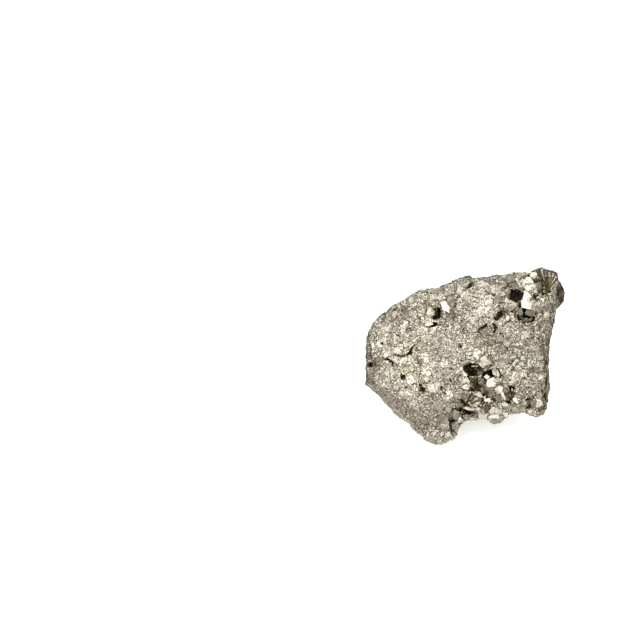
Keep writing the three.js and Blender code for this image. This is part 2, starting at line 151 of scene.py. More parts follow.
# Fissures of the broad face: [width, depth, (right, up) of the points along it as the camera sees them],
# all in mm.
FISSURES = [
    [0.26, 0.7, (-16, 0.1), (-13.6, -0.4), (-12.4, 0.4), (-11.7, 1.3), (-11, 2.4)],
    [0.45, 1.0, (-12.6, 0.2), (-11.9, 1)],
    [0.22, 0.5, (-13.2, 5.9), (-12.5, 6.8), (-11.7, 6.9)],
    [0.35, 0.7, (-15.1, 5.1), (-15, 4.9)],
    [0.32, 0.8, (-23.2, -2.3), (-21.4, -1.9), (-19.5, -1.2), (-17.5, -1.0), (-16.4, -2.0)],
    [0.6, 1.3, (-22.4, -2.3), (-21.8, -2.2)],
    [0.45, 1.2, (-16.9, -1.7), (-16.6, -2.2)],
    [0.45, 1.3, (-14.2, -5), (-14, -5.3)],
    [0.6, 1.5, (-9.4, -7.6), (-9.1, -8.6)],
    [0.42, 1.2, (-4.2, -8), (-4, -8.6)],
    [0.32, 1.0, (-3.4, -9.3), (-3.1, -9.8)],
    [0.28, 0.7, (-7.8, 12), (-6.7, 12.3), (-5.2, 11.2)],
    [0.5, 1.3, (-7.7, 7.1), (-6.8, 7.2), (-5.9, 7.7)],
    [0.3, 0.9, (0.6, 2.2), (0.7, 2)],
    [0.24, 0.7, (-2.2, 12), (0.5, 15), (3.2, 17.8)],
    [0.36, 1.0, (8.9, 7.9), (9.6, 7.1), (9.1, 5.6)],
    [0.4, 0.9, (5.8, 6.8), (7.2, 7.6)],
    [0.4, 0.9, (10.6, 5.2), (11.4, 4.4)],
    [0.3, 0.8, (16.9, -4.6), (17.2, -5)],
    [0.3, 0.8, (-2.2, -5.8), (-1.6, -6.4)],
    [0.4, 1.0, (12.5, 12), (14, 10.6), (15.2, 10.9)],
    [0.7, 1.6, (16.6, 19.4), (18, 20.8)],
    [0.9, 1.6, (19.6, 18.4), (20.6, 18)],
    [1.2, 1.8, (16, 16.6), (16.6, 15.4)],
    [1.3, 1.8, (15.4, 12.4), (15.8, 9.4), (18.4, 8.9)],
    [1.4, 2.0, (20.9, 15.6), (22.5, 15.9)],
    [0.7, 1.7, (0.6, -11.4), (2.6, -12.9)],
    [0.8, 1.8, (0.4, -13.6), (3.6, -14.6)],
    [0.5, 1.2, (-1.7, -16.8), (-1.6, -18.7)],
    [0.7, 1.4, (-0.3, -16.6), (-0.2, -17.2)],
    [0.7, 1.6, (1.2, -16.6), (0.9, -17.6)],
    [0.8, 1.5, (17.5, -11.4), (17.4, -13.2)],
    [1.5, 1.3, (3.6, -5.4), (4.2, -8.4)],
    [1.2, 1.2, (5.9, -6.8), (6.6, -9.6)],
    [0.5, 1.2, (17.3, -4.3), (17.4, -4.5)],
    [0.45, 1.0, (9.9, -3.6), (10.5, -5.2)],
    [0.5, 1.1, (7.8, -9.8), (9.2, -11.4)],
    [0.5, 1.0, (11.4, -11.6), (12.9, -11.8)],
    [1.2, 1.7, (-4.0, 10.0), (-5.6, 9.8)],
    [0.5, 1.2, (-6.3, 11.4), (-4, 10.2)],
]

# Crystals that show on the broad face: (right, up) of the middle as the camera sees it, half width and
# half height in mm, turn in the face, and how far the shown face leans to the right and up, in degrees.
SHOWN_CRYSTALS = [
    (18.1, 17.0, 1.1, 0.85, 2, 0, 4),
    (16.4, 17.5, 0.5, 1.0, -6, -7, 3),
    (21.0, 13.5, 0.45, 0.8, -30, 2, 4),
    (18.6, 11.8, 0.35, 0.7, -10, -2, 2),
    (17.9, 10.6, 1.1, 0.8, 10, 10, -15),
    (15.6, 10.9, 0.6, 0.9, 30, -9, -12),
    (12.9, 12.3, 1.4, 1.2, 4, -9, -6),
    (14.9, 11.8, 0.6, 1.2, 4, 34, -6),
    (13.6, 9.5, 0.6, 1.1, 15, 0, 2),
    (12.4, 9.3, 0.45, 0.6, -10, -4, 3),
    (14.2, 17.2, 0.9, 0.9, 20, 10, -16),
    (19.3, 15.8, 0.45, 0.4, 0, -2, 3),
    (20.1, 17.1, 0.9, 0.9, 15, 12, -20),
    (22.8, 15.3, 0.3, 0.3, 0, -2, 2),
    (6.7, -1.5, 1.4, 1.5, 25, -4, 3),
    (4.3, -2.7, 0.9, 0.35, 8, 0, 4),
    (3.6, -0.9, 0.6, 0.5, 20, -3, 2),
    (4.8, -0.7, 0.5, 0.5, 50, -6, 5),
    (4.7, -3.6, 0.8, 0.8, 0, 8, -17),
    (8.5, -6.7, 1.2, 1.15, 30, -3, 3),
    (9.4, -4.3, 0.7, 1.0, 20, 3, 7),
    (6.0, -7.0, 0.8, 0.8, 20, 14, -19),
    (6.5, -8.8, 0.8, 0.9, 20, 8, -22),
    (8.1, -9.4, 0.9, 1.3, 12, 6, -26),
    (10.1, -10.8, 0.95, 0.95, 30, -4, -25),
    (10.3, -8.7, 0.8, 0.8, 40, -3, 3),
    (11.4, -12.3, 1.0, 0.5, -20, -4, 4),
    (13.5, -9.8, 0.4, 1.2, 0, -2, 2),
    (12.3, -10.2, 0.9, 1.4, 5, 12, -14),
    (4.0, -11.9, 1.2, 1.0, -20, -3, 3),
    (4.6, -10.2, 1.3, 1.0, 30, -6, 0),
    (6.7, -10.7, 0.4, 0.4, 0, -3, 3),
    (3.0, -13.5, 1.6, 0.35, -10, -4, 2),
    (-0.5, -15.1, 0.9, 1.1, 5, 7, -9),
    (0.5, -16.2, 0.6, 0.7, 30, -3, 6),
    (-0.6, -17.8, 1.1, 0.9, 10, 5, -8),
    (-2.4, -20.3, 1.0, 0.9, 25, 0, 4),
    (-3.4, -18.2, 1.1, 1.0, 10, 5, -9),
    (2.0, -6.5, 0.9, 0.8, 20, -3, 3),
    (2.1, -8.0, 0.8, 0.5, 5, -2, 5),
    (6.3, -14.8, 1.2, 0.8, 15, -2, 5),
    (4.0, -15.8, 0.8, 0.6, 0, 2, 8),
    (8.4, -13.6, 1.3, 0.9, 10, -5, 5),
    (10.1, -13.9, 1.1, 0.8, -15, 3, 5),
    (9.0, -15.4, 1.5, 0.8, 5, -2, 8),
    (8.0, -15.9, 0.7, 0.6, 0, -6, 2),
    (10.6, -15.9, 1.0, 0.7, 15, 4, 1),
    (5.2, -13.4, 1.0, 0.8, 10, -3, 6),
    (12.0, -15.0, 0.9, 0.6, 0, 3, 6),
    (12.3, 15.8, 0.8, 0.9, 20, 5, -10),
    (17.0, 15.9, 0.7, 0.6, 30, -8, 3),
    (15.5, 16.9, 0.9, 0.5, 10, 4, -9),
    (18.9, -12.2, 0.8, 1.0, 4, 14, -10),
    (18.4, -14.3, 0.9, 0.8, 25, 0, 3),
    (20.1, -11.9, 0.9, 1.1, 10, 4, 9),
    (13.9, -0.6, 0.55, 0.5, 10, -2, 3),
    (14.7, -1.5, 0.5, 0.45, 40, -4, 1),
    (16.2, -0.8, 0.7, 0.5, -35, -1, 4),
    (14.0, -2.1, 0.45, 0.45, 0, 0, 2),
    (15.8, -2.3, 0.5, 0.5, 20, -3, 4),
    (19.8, -0.3, 0.3, 1.1, 5, -2, 2),
    (16.8, -4.8, 0.3, 0.9, 20, -3, 2),
    (10.0, -4.9, 0.3, 0.7, 10, -1, 3),
    (-1.9, 13.5, 0.85, 1.1, 10, 8, -9),
    (-6.9, 10.8, 0.9, 1.2, 5, 5, -6),
    (-7.3, 7.7, 0.9, 0.4, 5, -2, 3),
    (-14.8, 12.0, 0.5, 0.6, 10, -2, 3),
    (-15.4, -1.0, 0.9, 0.6, 0, 2, 7),
    (-19.6, -1.2, 1.1, 0.5, 5, 9, -13),
    (-18.0, 0.0, 0.7, 0.6, 30, -3, 8),
    (19.7, 12.4, 1.6, 1.5, 20, 5, -7),
]
# The palest of them, laid out in the same way. They face the brightest light, and their pale tone is partly a
# painted highlight.
PALE_CRYSTALS = [
    (18.8, 20.0, 0.9, 0.8, 10, -2, 4),
    (17.5, 18.6, 1.2, 0.75, 8, -5, 0),
    (17.3, 14.5, 0.9, 0.9, 35, -3, 1),
    (17.1, 12.6, 1.2, 1.3, 40, -1, 3),
    (14.4, -11.4, 0.9, 0.45, -45, 0, 3),
    (7.3, -11.6, 0.7, 0.8, 30, -1, 4),
    (11.3, -10.0, 0.35, 1.3, 25, -2, 1),
    (-3.4, 12.1, 0.9, 1.4, 38, -3, 2),
]
SHOWN_TONE = (0.0, 0.6)
PALE_HIGHLIGHT_TONE = (0.75, 1.0)
# Painted shade: a shown crystal is painted browner the further it leans from the way of the brightest light,
# in degrees.
BRIGHT_LEAN = (-3, 2)
LEAN_SHADE_FROM = 9
LEAN_SHADE_OVER = 18
LEAN_SHADE_MOST = 0.5
TWIN_LEAST = 0.75  # shown crystals with a half width of more than this have a twin, in mm
TWIN_AWAY = 0.8  # how far the twin's middle lies from the crystal's, in the crystal's half sizes
TWIN_SIZE = (0.35, 0.6)  # how large it is, in the same
TWIN_TURN = 40  # how far it's turned and how far it leans from the crystal's own way, in degrees
TWIN_LEAN = 9
SHOWN_DEPTH = 2.2  # how deep a shown crystal goes, in its own half widths
SHOWN_WIDEST = 2  # past this width a crystal goes no deeper, in mm
SHOWN_SIDES = (4, 4, 5, 5, 6)  # how many corners its face has
CORNER_SHIFT = 0.28  # how unevenly they stand, in the turn from one to the next
CORNER_REACH = (0.95, 1.5)  # how far out they lie, in its own half sizes
RIDGE_REACH = (0.2, 0.6)  # and the ends of its ridge
SHOWN_LIFT = 0.12  # how far a shown crystal stands out, in mm
SHOWN_RIDGE = 0.16  # the greatest height of the ridge on a shown face, in its own half widths
SHOWN_SPOTS = 0.7  # how far out the solid is felt for under a shown crystal, in its own half sizes
SHOWN_FLARE = 1.12  # how much wider a shown crystal is at its root
STAND_IN_REACH = 0.5  # how far past a shown crystal the solid's own ones are left out, in mm
FAN_PLACE = (23.3, 18.6, 4.2)  # the solid's own blades, which finer ones stand for: (right, up, reach)

# The smooth brown shoulder beside the knob: its middle straight before the face, and half its width and
# height, in mm.
SHOULDER = (27.2, 14.6, 2.9, 3.9)
SHOULDER_EDGE = (1.15, 0.3)  # where it ends and how soft its edge is, in its own half sizes

# Patches of the broad face that are painted darker and browner: right and up as the camera sees them and
# reach, in mm, and how much.
DARKER_PATCHES = [
    (-2.5, -5.0, 4.0, 0.4),
    (-1.0, -12.0, 4.0, 0.3),
    (18.0, 3.8, 4.0, 0.38),
    (12.5, 10.5, 3.0, 0.3),
    (6.5, 5.0, 3.4, 0.45),
    (-23.5, 6.5, 3.0, 0.4),
    (-7.5, 12.0, 2.5, 0.25),
    (21.6, 20.0, 3.0, 0.4),
    (-22.0, -5.0, 3.0, 0.35),
    (-4.0, -1.5, 3.0, 0.2),
]
# The right edge of the face, painted darker and browner, partly as tarnish and partly as painted shade where
# it turns from the light: where it starts and how far it takes to grow full, to the right and downward, and
# where it ends below, in mm.
EDGE_RIGHT = (19.8, 1.6)
EDGE_TOP = (13, 2)
EDGE_BOTTOM = -14
STREAKS = (1.5, 0.25)  # how fast its streaks change to the right and upward, to a mm
EDGE_SHARE = 0.45  # how dark and brown it is painted, by how much more and less in the streaks, and within what limits
STREAK_SHARE = 1.2
STREAK_LIMITS = (0.05, 0.85)
SPECK_SIZE = 0.9 * MM  # the specks of the darker patches, and how much they stand out
SPECK_SHARE = 1.5

# Blades that spread from a foot over the face: [foot, first and last bearing in degrees, count,
# length of the first, how much longer the last is, half the width at the tip, height of the ridge],
# lengths in mm.
BLADE_FANS = [
    [(22.5, 16.1), 44, 118, 12, 3.2, 2.9, 0.42, 0.25],
    [(1.9, -12.6), 5, 75, 7, 3.6, 0, 0.3, 0.35],
    [(4.2, -8.3), 66, 112, 6, 3.0, 0, 0.24, 0.35],
    [(13.2, -11.6), 50, 130, 6, 2.6, 0, 0.24, 0.3],
]
# Striped crystals: [middle, bearing of the ribs in degrees, width, length, count, height], in mm.
RIBS = [
    [(4.1, -6.7), 86, 2.2, 3.4, 5, 0.24],
    [(6.4, -8.2), 118, 1.9, 3.8, 5, 0.24],
    [(4.9, -11.5), 62, 1.5, 2.6, 4, 0.2],
    [(13.9, -6.9), 40, 1.4, 2.2, 3, 0.16],
    [(12.9, 12.2), 5, 2.0, 2.2, 4, 0.14],
    [(22.9, -8.5), 84, 1.6, 6.5, 3, 0.2],
]
BLADE_SHARES = (0, 0.15, 0.3, 0.45, 0.6, 0.7, 0.8, 0.9, 1)  # where the corners along a blade lie
GROUND_REACH = 0.6  # how far round a spot its ground is levelled, in mm
GROUND_DROP = 4.0  # what lies further up or down than this is left out of it, in mm
BLADE_STEP = 1.0  # the most that a blade falls from one corner to the next, in mm
BLADE_ROOT = 0.6  # how deep a blade stands in the ground, in mm
BLADE_RISE = 0.5  # how far the eaves of a blade lie over the ground, in mm
BLADE_SHIFT = (0.3, 0.7)  # how unevenly the blades of a fan stand
BLADE_LENGTHS = (0.94, 1.03)  # how much shorter or longer and how much lower or higher one is than listed
BLADE_RIDGES = (0.5, 1.3)
RIB_LENGTHS = (0.85, 1.1)
RIB_RIDGES = (0.6, 1.3)
RIB_ROUND = 1.6  # the higher, the rounder the outline of a striped crystal
RIB_LEAST = 0.2
BLADE_START = 0.12  # where a blade begins, in its own lengths from the foot of the fan
BLADE_FOOT = 0.35  # how wide it is there, in its own widths at the tip
# Painted light and shade on the blades: how brown every other blade is painted, as if lit, and the ones
# between them, as if in shade, and the tone of each kind.
LIT_BLADE_BROWNS = (0, 0, 0.15)
SHADED_BLADE_BROWNS = (0.3, 0.5, 0.7)
LIT_BLADE_TONE = (0.6, 1)
SHADED_BLADE_TONE = (0, 0.4)
DARK_BLADE_SHADE = 0.8  # the dark blades are shaded as if they lay this deep in a hollow
RIB_BROWN = (0, 0.2, 0.5, 0.8)  # how tarnished the ribs are

# The turn from one crystal face to the next, in degrees: across the edges of a cube, and across the
# roof ridges and the other edges of a pyritohedron.
CRYSTAL_TURNS = (90, 53.13, 66.42)
TURN_SLACK = 0.05
FLAT_TURN = 0.05
LEAST_CRYSTAL = 0.5 * MM**2
WIDEST_CRYSTAL = 6 * MM
CRYSTAL_OUT = 0.03 * MM  # the crisp crystals stand this far proud of the solid's own
CRYSTAL_BEVEL = 0.045 * MM
FLAT_LIMIT = math.radians(1)  # faces that meet at less than this are one
CRYSTAL_BROWN = (0, 0, 0.2, 0.5)  # how tarnished the solid's own crystals are
CLIPS = 3  # corners of each crystal that are cut off
CLIP_OUTWARD = 0.8  # the higher, the more of the clips show
CLIP_PLACE = (0.74, 0.93)  # where the cut runs, as a share of the way to the corner
ROOT_SHARE = 0.5  # how deep a crystal's root goes, in its own sizes

# Plates on the faces of crystals: [rim round the plate, least face that has one].
STEPS = ((0.16 * MM, 0.9 * MM**2), (0.24 * MM, 1.2 * MM**2))
STEP_SHARE = 0.7
STEP_RISE = 0.07 * MM
GROWTH_MAP = "growth"
ORDER_WAY = Vector((0.81, 0.47, 0.35))  # the slanting line along which the parts of a form are put in order

# How far the wall of a hollow is looked for, in how many directions, and from how far over the skin. How
# walled in a point is sets the painted shade of hollows.
HOLLOW_REACH = 6 * MM
HOLLOW_RAYS = 14
HOLLOW_LIFT = 0.15 * MM
LOWEST_RAY = 0.12  # the height of the lowest direction on a ball of one unit, and the span up to the highest
RAY_SPAN = 0.85
FAR_WALL = 0.5  # how much less a wall counts that is as far as the reach

# Grains and pebbles: least distance between two, least and greatest size across, how rare the large ones
# are, and how far one sits in the skin, in its own sizes.
GRAINS = {"Gap": 0.25 * MM, "Least Size": 0.18 * MM, "Greatest Size": 0.5 * MM, "Bias": 2.8, "Sink": 0.1}
PEBBLES = {"Gap": 0.95 * MM, "Least Size": 0.7 * MM, "Greatest Size": 2.2 * MM, "Bias": 1.5, "Sink": 0.32}
STRETCH = (0.8, 1.2)  # how much shorter or longer one is along each axis
CHIP_REACH = (0.38, 0.56)  # how far from the middle of a chip its corners lie
CROWDING = 3.0  # how many points are tried in a square as wide as the least distance
GRAIN_MARGIN = 0.3  # how far from a shown crystal grains and pebbles keep, in mm
PEBBLE_MARGIN = 1.0
GRAIN_PATCHES = 2.4 * MM  # how large the patches with more grains are, and those with coarser ones
COARSE_PATCHES = 7 * MM
COVERED_BARE = 0.22  # the share of the grains that lie on the solid's own crystals
DEEP_CUT = 0.5 * MM  # there are no grains in cuts that are much deeper than this
ROOM = 0.9 * MM  # nearer than this to the solid's own box, grains are smaller and pebbles fewer
# How many of the grains are missing from the shoulder, next to shown crystals and on the smooth planes.
SHOULDER_BARE = 0.93
CLEAR_BARE = 0.75
EVEN_BARE = 0.88
NEST_REACH = 4.5 * MM  # how far round a crystal the mass is coarser
SIDES = ("front", "back", "left", "right")
SPREADS = ("coarse", "pebbles", "grains")  # what only the strewing reads

# Factors on the middle of a cell, which give each of its values a draw of its own.
TILT_DRAW = 7.3
HEIGHT_DRAW = 3.1
SMOOTH_DRAW = 4.3
TONE_DRAW = 6.1
PORE_DRAW = 5.7

# The finish: its colours, and how many patches of colour, pinholes and hairlines there are to a metre.
PALE = (0.72, 0.685, 0.6, 1)
GREY = (0.4, 0.38, 0.33, 1)
BRASS = (0.58, 0.51, 0.35, 1)
OLIVE = (0.27, 0.24, 0.15, 1)
# The near-black painted shade of hollows, pores, pinholes and hairlines.
PORE_SHADE = (0.085, 0.064, 0.03, 1)
BROWN = (0.17, 0.14, 0.095, 1)
GREEN_TINT = (0.97, 1.0, 0.955, 1)
PINK_TINT = (1.0, 0.965, 0.97, 1)
WIDE_PATCHES = 130.0
FINE_PATCHES = 900.0
TINT_PATCHES = 260.0
PINHOLES = 1400.0
HAIRLINES = 420.0
HAIRLINE_BENDS = 700.0
HAIRLINE_WARP = 0.9 * MM  # how far a hairline bends
# Where each colour begins to show and where it shows in full.
PALE_RAMP = (0.25, 0.9)
# Olive shows in hollows partly as oxide and partly as painted shade; the near-black pore colour is painted
# shade.
OLIVE_RAMP = (0.14, 0.5)
PORE_SHADE_RAMP = (0.33, 0.65)
# How much of each colour shows at most.
BRASS_SHARE = 0.55
OLIVE_SHARE = 0.7
BROWN_SHARE = 0.9
HAIRLINE_SHARE = 0.7
EVEN_CALM = 0.6  # how much of the facets' tilt the smooth planes lack, and how much rougher they are
EVEN_ROUGHNESS = 0.05
PORE_ROUGHNESS = 0.25  # how much rougher the metal is in pores, and what is left of its shine there
PORE_METAL = 0.7
# The growth lines: how strong, how high, and how much darker their grooves are, plain and where it's brown.
LINE_DRIFT = 250.0  # how often they change along their length, to a metre
LINE_STRENGTH = 0.9
LINE_HEIGHT = 0.09 * MM
GROOVE_SHARE = 0.2
GROOVE_BROWN = 0.6
# The three finishes: size and tilt of the small facets, roughness, share of pinholes and hairlines, and the
# gap between growth lines.
# The pits share is how much painted shade of pinholes and hairlines each finish gets.
CRUMBLED = {"facet_size": 0.27 * MM, "tilt": 1.1, "roughness": (0.06, 0.2), "pits": 1.0}
SUGARY = {"facet_size": 0.24 * MM, "tilt": 0.7, "roughness": (0.05, 0.16), "pits": 0.8}
CRYSTAL = {"facet_size": 0.8 * MM, "tilt": 0.22, "roughness": (0.1, 0.24), "pits": 0.15, "lines": 0.35 * MM}

# The floor, which curves up into a wall far outside the lights.
FLOOR_REACH = 2.4
COVE = 0.4
WALL_TOP = 1.0
FLOOR_START = 0.3  # how far out its first ring lies
FLOOR_SIDES = 64
COVE_STEPS = 8
FLOOR_GLOW = 0.5  # keeps the shadow on the floor as light as the photograph's
FLOOR_WHITE = (0.9, 0.9, 0.9, 1)

# The lights, which all point at the middle of the chunk.
LIGHT_AIM = Vector((0, 0, 0.018))
# Softboxes: name, (azimuth, elevation, distance), (width, height) and how bright their surface is.
SOFTBOXES = (
    ("overhead", (0, 88, 0.65), (1.2, 1.2), 1.2),
    ("behind the camera", (-6, 38, 0.9), (0.6, 0.5), 1.2),
    ("left", (-62, 35, 0.9), (0.4, 0.6), 1.2),
    ("right", (58, 28, 0.9), (0.35, 0.5), 1.0),
    ("back", (180, 30, 0.9), (0.7, 0.5), 0.7),
)
# The room as the metal mirrors it: its colour, and how bright it is. It's dark behind the chunk and bright
# on the viewer's side and straight below: (from, to, strength there, strength here).
WORLD_COLOR = (1, 0.958, 0.885, 1)
WORLD_FRONT = (-0.4, 0.6, 0.15, 0.91)
WORLD_BELOW = (-0.5, -0.95, 0.0, 0.9)
WORLD_PATCHES = 8  # how many soft patches of light and shade the room has to each way
WORLD_UNEVEN = (0.25, 1.65)  # how bright its darkest and its brightest patches are


def new_object(name, mesh):
    made = bpy.data.objects.new(name, mesh)
    bpy.context.scene.collection.objects.link(made)
    return made


def apply_modifiers(piece):
    graph = bpy.context.evaluated_depsgraph_get()
    mesh = bpy.data.meshes.new_from_object(piece.evaluated_get(graph))
    piece.modifiers.clear()
    piece.data = mesh


def read_vectors(items, name, count):
    flat = np.empty(count * 3, np.float32)
    items.foreach_get(name, flat)
    return flat.reshape(-1, 3).astype(float)


def put_attribute(mesh, name, values):
    made = mesh.attributes.new(name, "FLOAT", "POINT")
    made.data.foreach_set("value", np.asarray(values, np.float32))


def keep_in_box(mesh):
    """Nothing reaches under the level base or past the solid's own size."""
    points = read_vectors(mesh.vertices, "co", len(mesh.vertices))
    points = np.clip(points, cad_low, cad_high)
    mesh.vertices.foreach_set("co", points.astype(np.float32).ravel())
    mesh.update()


def finish_piece(piece, material):
    piece.data.materials.clear()
    piece.data.materials.append(material)
    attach(piece, "root")
    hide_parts(CHUNK)


def mesh_from(name, shape):
    """A mesh from a shape, which is let go."""
    mesh = bpy.data.meshes.new(name)
    shape.to_mesh(mesh)
    shape.free()
    return mesh


def make_piece(name, mesh, values, material):
    """A finished piece from a mesh, with values of its own at each corner."""
    for value_name, value in values.items():
        put_attribute(mesh, value_name, value)
    keep_in_box(mesh)
    piece = new_object(name, mesh)
    finish_piece(piece, material)
    return piece


# Node trees.
def find_socket(sockets, name):
    """A socket by its place, or the one of that name that is in use."""
    if isinstance(name, int):
        return sockets[name]
    return next(s for s in sockets if s.name == name and s.enabled)


def put_node(tree, kind, sockets=None, **settings):
    made = tree.nodes.new(kind)
    for name, value in settings.items():
        setattr(made, name, value)
    for name, value in (sockets or {}).items():
        target = find_socket(made.inputs, name)
        if isinstance(value, bpy.types.NodeSocket):
            tree.links.new(value, target)
        else:
            target.default_value = value
    return made


def math_node(tree, operation, first, second=0.0, third=0.0):
    sockets = {0: first, 1: second, 2: third}
    return put_node(tree, "ShaderNodeMath", sockets, operation=operation).outputs[0]


def times(tree, first, second):
    return math_node(tree, "MULTIPLY", first, second)


def vector_math(tree, operation, sockets):
    return put_node(tree, "ShaderNodeVectorMath", sockets, operation=operation).outputs[0]


def patches_node(tree, place, scale, detail=2.0):
    """Soft noise: its value first and its colour second."""
    return put_node(tree, "ShaderNodeTexNoise", {"Vector": place, "Scale": scale, "Detail": detail}).outputs


def mix_colors(tree, share, first, second, blend="MIX"):
    settings = {"data_type": "RGBA", "blend_type": blend}
    made = put_node(tree, "ShaderNodeMix", {0: share, 6: first, 7: second}, **settings)
    return made.outputs[2]


def ramp(tree, value, low, high, least=0.0, most=1.0):
    """A value that goes from least to most as another goes from low to high."""
    sockets = {"Value": value, "From Min": low, "From Max": high, "To Min": least, "To Max": most}
    return put_node(tree, "ShaderNodeMapRange", sockets, interpolation_type="SMOOTHSTEP").outputs[0]


def evenly(tree, share, least, most):
    """A value that goes evenly from least to most as a share goes from 0 to 1."""
    span = math_node(tree, "SUBTRACT", most, least)
    return math_node(tree, "MULTIPLY_ADD", share, span, least)


def new_group(name, kind, inputs, outputs):
    """An empty node group, with its inputs and its outputs."""
    tree = bpy.data.node_groups.new(name, kind)
    for socket_name, socket_kind in inputs:
        tree.interface.new_socket(socket_name, in_out="INPUT", socket_type=socket_kind)
    for socket_name, socket_kind in outputs:
        tree.interface.new_socket(socket_name, in_out="OUTPUT", socket_type=socket_kind)
    return tree, tree.nodes.new("NodeGroupInput").outputs, tree.nodes.new("NodeGroupOutput").inputs


# The solid as one merged mesh, and the crystals that stand out of it.
def merged_solid():
    """The solid's loose triangles, joined at their corners."""
    shape = bmesh.new()
    shape.from_mesh(frame["nodes"][CHUNK].data)
    bmesh.ops.remove_doubles(shape, verts=shape.verts, dist=MERGE)
    shape.faces.ensure_lookup_table()
    return shape


class Groups:
    """Things gathered into groups, each known by its leader."""

    def __init__(self, count):
        self.leader = list(range(count))

    def find(self, n):
        while self.leader[n] != n:
            self.leader[n] = self.leader[self.leader[n]]
            n = self.leader[n]
        return n

    def join(self, a, b):
        self.leader[self.find(a)] = self.find(b)


def crystal_faces(shape):
    """The faces of each crystal, known by the angles at which crystal faces meet."""
    groups = Groups(len(shape.faces))
    crystalline = set()
    for edge in shape.edges:
        if len(edge.link_faces) != 2:
            continue
        first, second = (face.index for face in edge.link_faces)
        turn = math.degrees(edge.calc_face_angle(0))
        if turn < FLAT_TURN:
            groups.join(first, second)
        elif edge.is_convex and any(abs(turn - t) < TURN_SLACK for t in CRYSTAL_TURNS):
            groups.join(first, second)
            crystalline.update((first, second))
    found = {groups.find(n): [] for n in crystalline}
    for face in shape.faces:
        leader = groups.find(face.index)
        if leader in found:
            found[leader].append(face)
    return [faces for faces in found.values() if is_crystal(faces)]


def is_crystal(faces):
    """Neither a sliver nor the wide level base."""
    points = np.array([vert.co for face in faces for vert in face.verts])
    span = np.ptp(points, axis=0).max()
    return sum(face.calc_area() for face in faces) > LEAST_CRYSTAL and span < WIDEST_CRYSTAL


def rank(part):
    """How far a corner, an edge or a face lies along a slanting line, to put such parts in order."""
    corners = [part] if isinstance(part, bmesh.types.BMVert) else part.verts
    return sum(vert.co.dot(ORDER_WAY) for vert in corners) / len(corners)


def hull_of(corners):
    """The convex hull of the corners, with its parts in an order that is the same each run."""
    form = bmesh.new()
    for corner in corners:
        form.verts.new(corner)
    hull = bmesh.ops.convex_hull(form, input=form.verts)
    spare = dict.fromkeys(hull["geom_interior"] + hull["geom_unused"])
    spare = [part for part in spare if isinstance(part, bmesh.types.BMVert)]
    bmesh.ops.delete(form, geom=spare, context="VERTS")
    for parts in (form.verts, form.edges, form.faces):
        parts.sort(key=rank)
    return form


def plain_hull(corners):
    """The hull, with the triangles that lie in one plane joined."""
    form = hull_of(corners)
    bmesh.ops.dissolve_limit(form, angle_limit=FLAT_LIMIT, verts=form.verts, edges=form.edges)
    return form


def worn_hull(corners):
    """The hull of a crystal, with slightly worn edges."""
    form = plain_hull(corners)
    wear = {"offset": CRYSTAL_BEVEL, "segments": 1, "affect": "EDGES", "clamp_overlap": True}
    bmesh.ops.bevel(form, geom=form.edges, **wear)
    return form


def clip_corner(corners, middle, outward, roll):
    """The corners of a convex form with one of them cut off, on the side that shows."""
    way = Vector([roll.gauss(0, 1) for _ in range(3)]).normalized()
    way = (way + outward * CLIP_OUTWARD).normalized()
    reach = max((corner - middle).dot(way) for corner in corners)
    place = middle + way * reach * roll.uniform(*CLIP_PLACE)
    form = hull_of(corners)
    geom = form.verts[:] + form.edges[:] + form.faces[:]
    bmesh.ops.bisect_plane(form, geom=geom, plane_co=place, plane_no=way, clear_outer=True)
    left = [vert.co.copy() for vert in form.verts]
    form.free()
    return left


def crisp_crystal(faces, roll):
    """A crystal as it stands out of the mass: its own faces, closed by a root inside the mass."""
    verts = dict.fromkeys(vert for face in faces for vert in face.verts)
    outward = sum((face.normal * face.calc_area() for face in faces), Vector()).normalized()
    middle = sum((v.co for v in verts), Vector()) / len(verts)
    size = max((v.co - middle).length for v in verts)
    corners = [v.co + (v.co - middle).normalized() * CRYSTAL_OUT for v in verts]
    corners += [corner - outward * size * ROOT_SHARE for corner in corners]
    for _ in range(CLIPS):
        corners = clip_corner(corners, middle, outward, roll)
    return worn_hull(corners)


def grow_steps(form, roll):
    """Thin plates on the wide faces of a crystal, one on the other, as it grew."""
    for rim, least in STEPS:
        wide = [face for face in form.faces if face.calc_area() > least]
        for face in sorted(wide, key=rank):
            if roll.random() < STEP_SHARE:
                thickness = rim * roll.uniform(0.6, 1.6)
                depth = STEP_RISE * roll.uniform(-0.6, 1)
                bmesh.ops.inset_individual(form, faces=[face], thickness=thickness, depth=depth)


def lay_growth_map(form):
    """A map whose first axis runs along the longest edge of each face, in metres."""
    layer = form.loops.layers.uv.new(GROWTH_MAP)
    for face in form.faces:
        longest = max(face.edges, key=lambda edge: (edge.calc_length(), rank(edge)))
        start, end = sorted(longest.verts, key=rank)
        along = (end.co - start.co).normalized()
        across = face.normal.cross(along)
        for loop in face.loops:
            loop[layer].uv = (loop.vert.co.dot(along), loop.vert.co.dot(across))


def straight_places(points):
    """How far points lie to the right of the middle of the face, up from it and before it, in mm."""
    away = (points - np.array(FACE_MIDDLE)) / MM
    return [away @ np.array(axis) for axis in (FACE_RIGHT, FACE_UP, FACE_OUT)]


def seen_places(points):
    """Right and up of where the camera sees points on the plane of the face, and their height, in mm."""
    right, up, height = straight_places(points)
    nearer = EYE_OUT / (EYE_OUT - height)
    return EYE_RIGHT + (right - EYE_RIGHT) * nearer, EYE_UP + (up - EYE_UP) * nearer, height


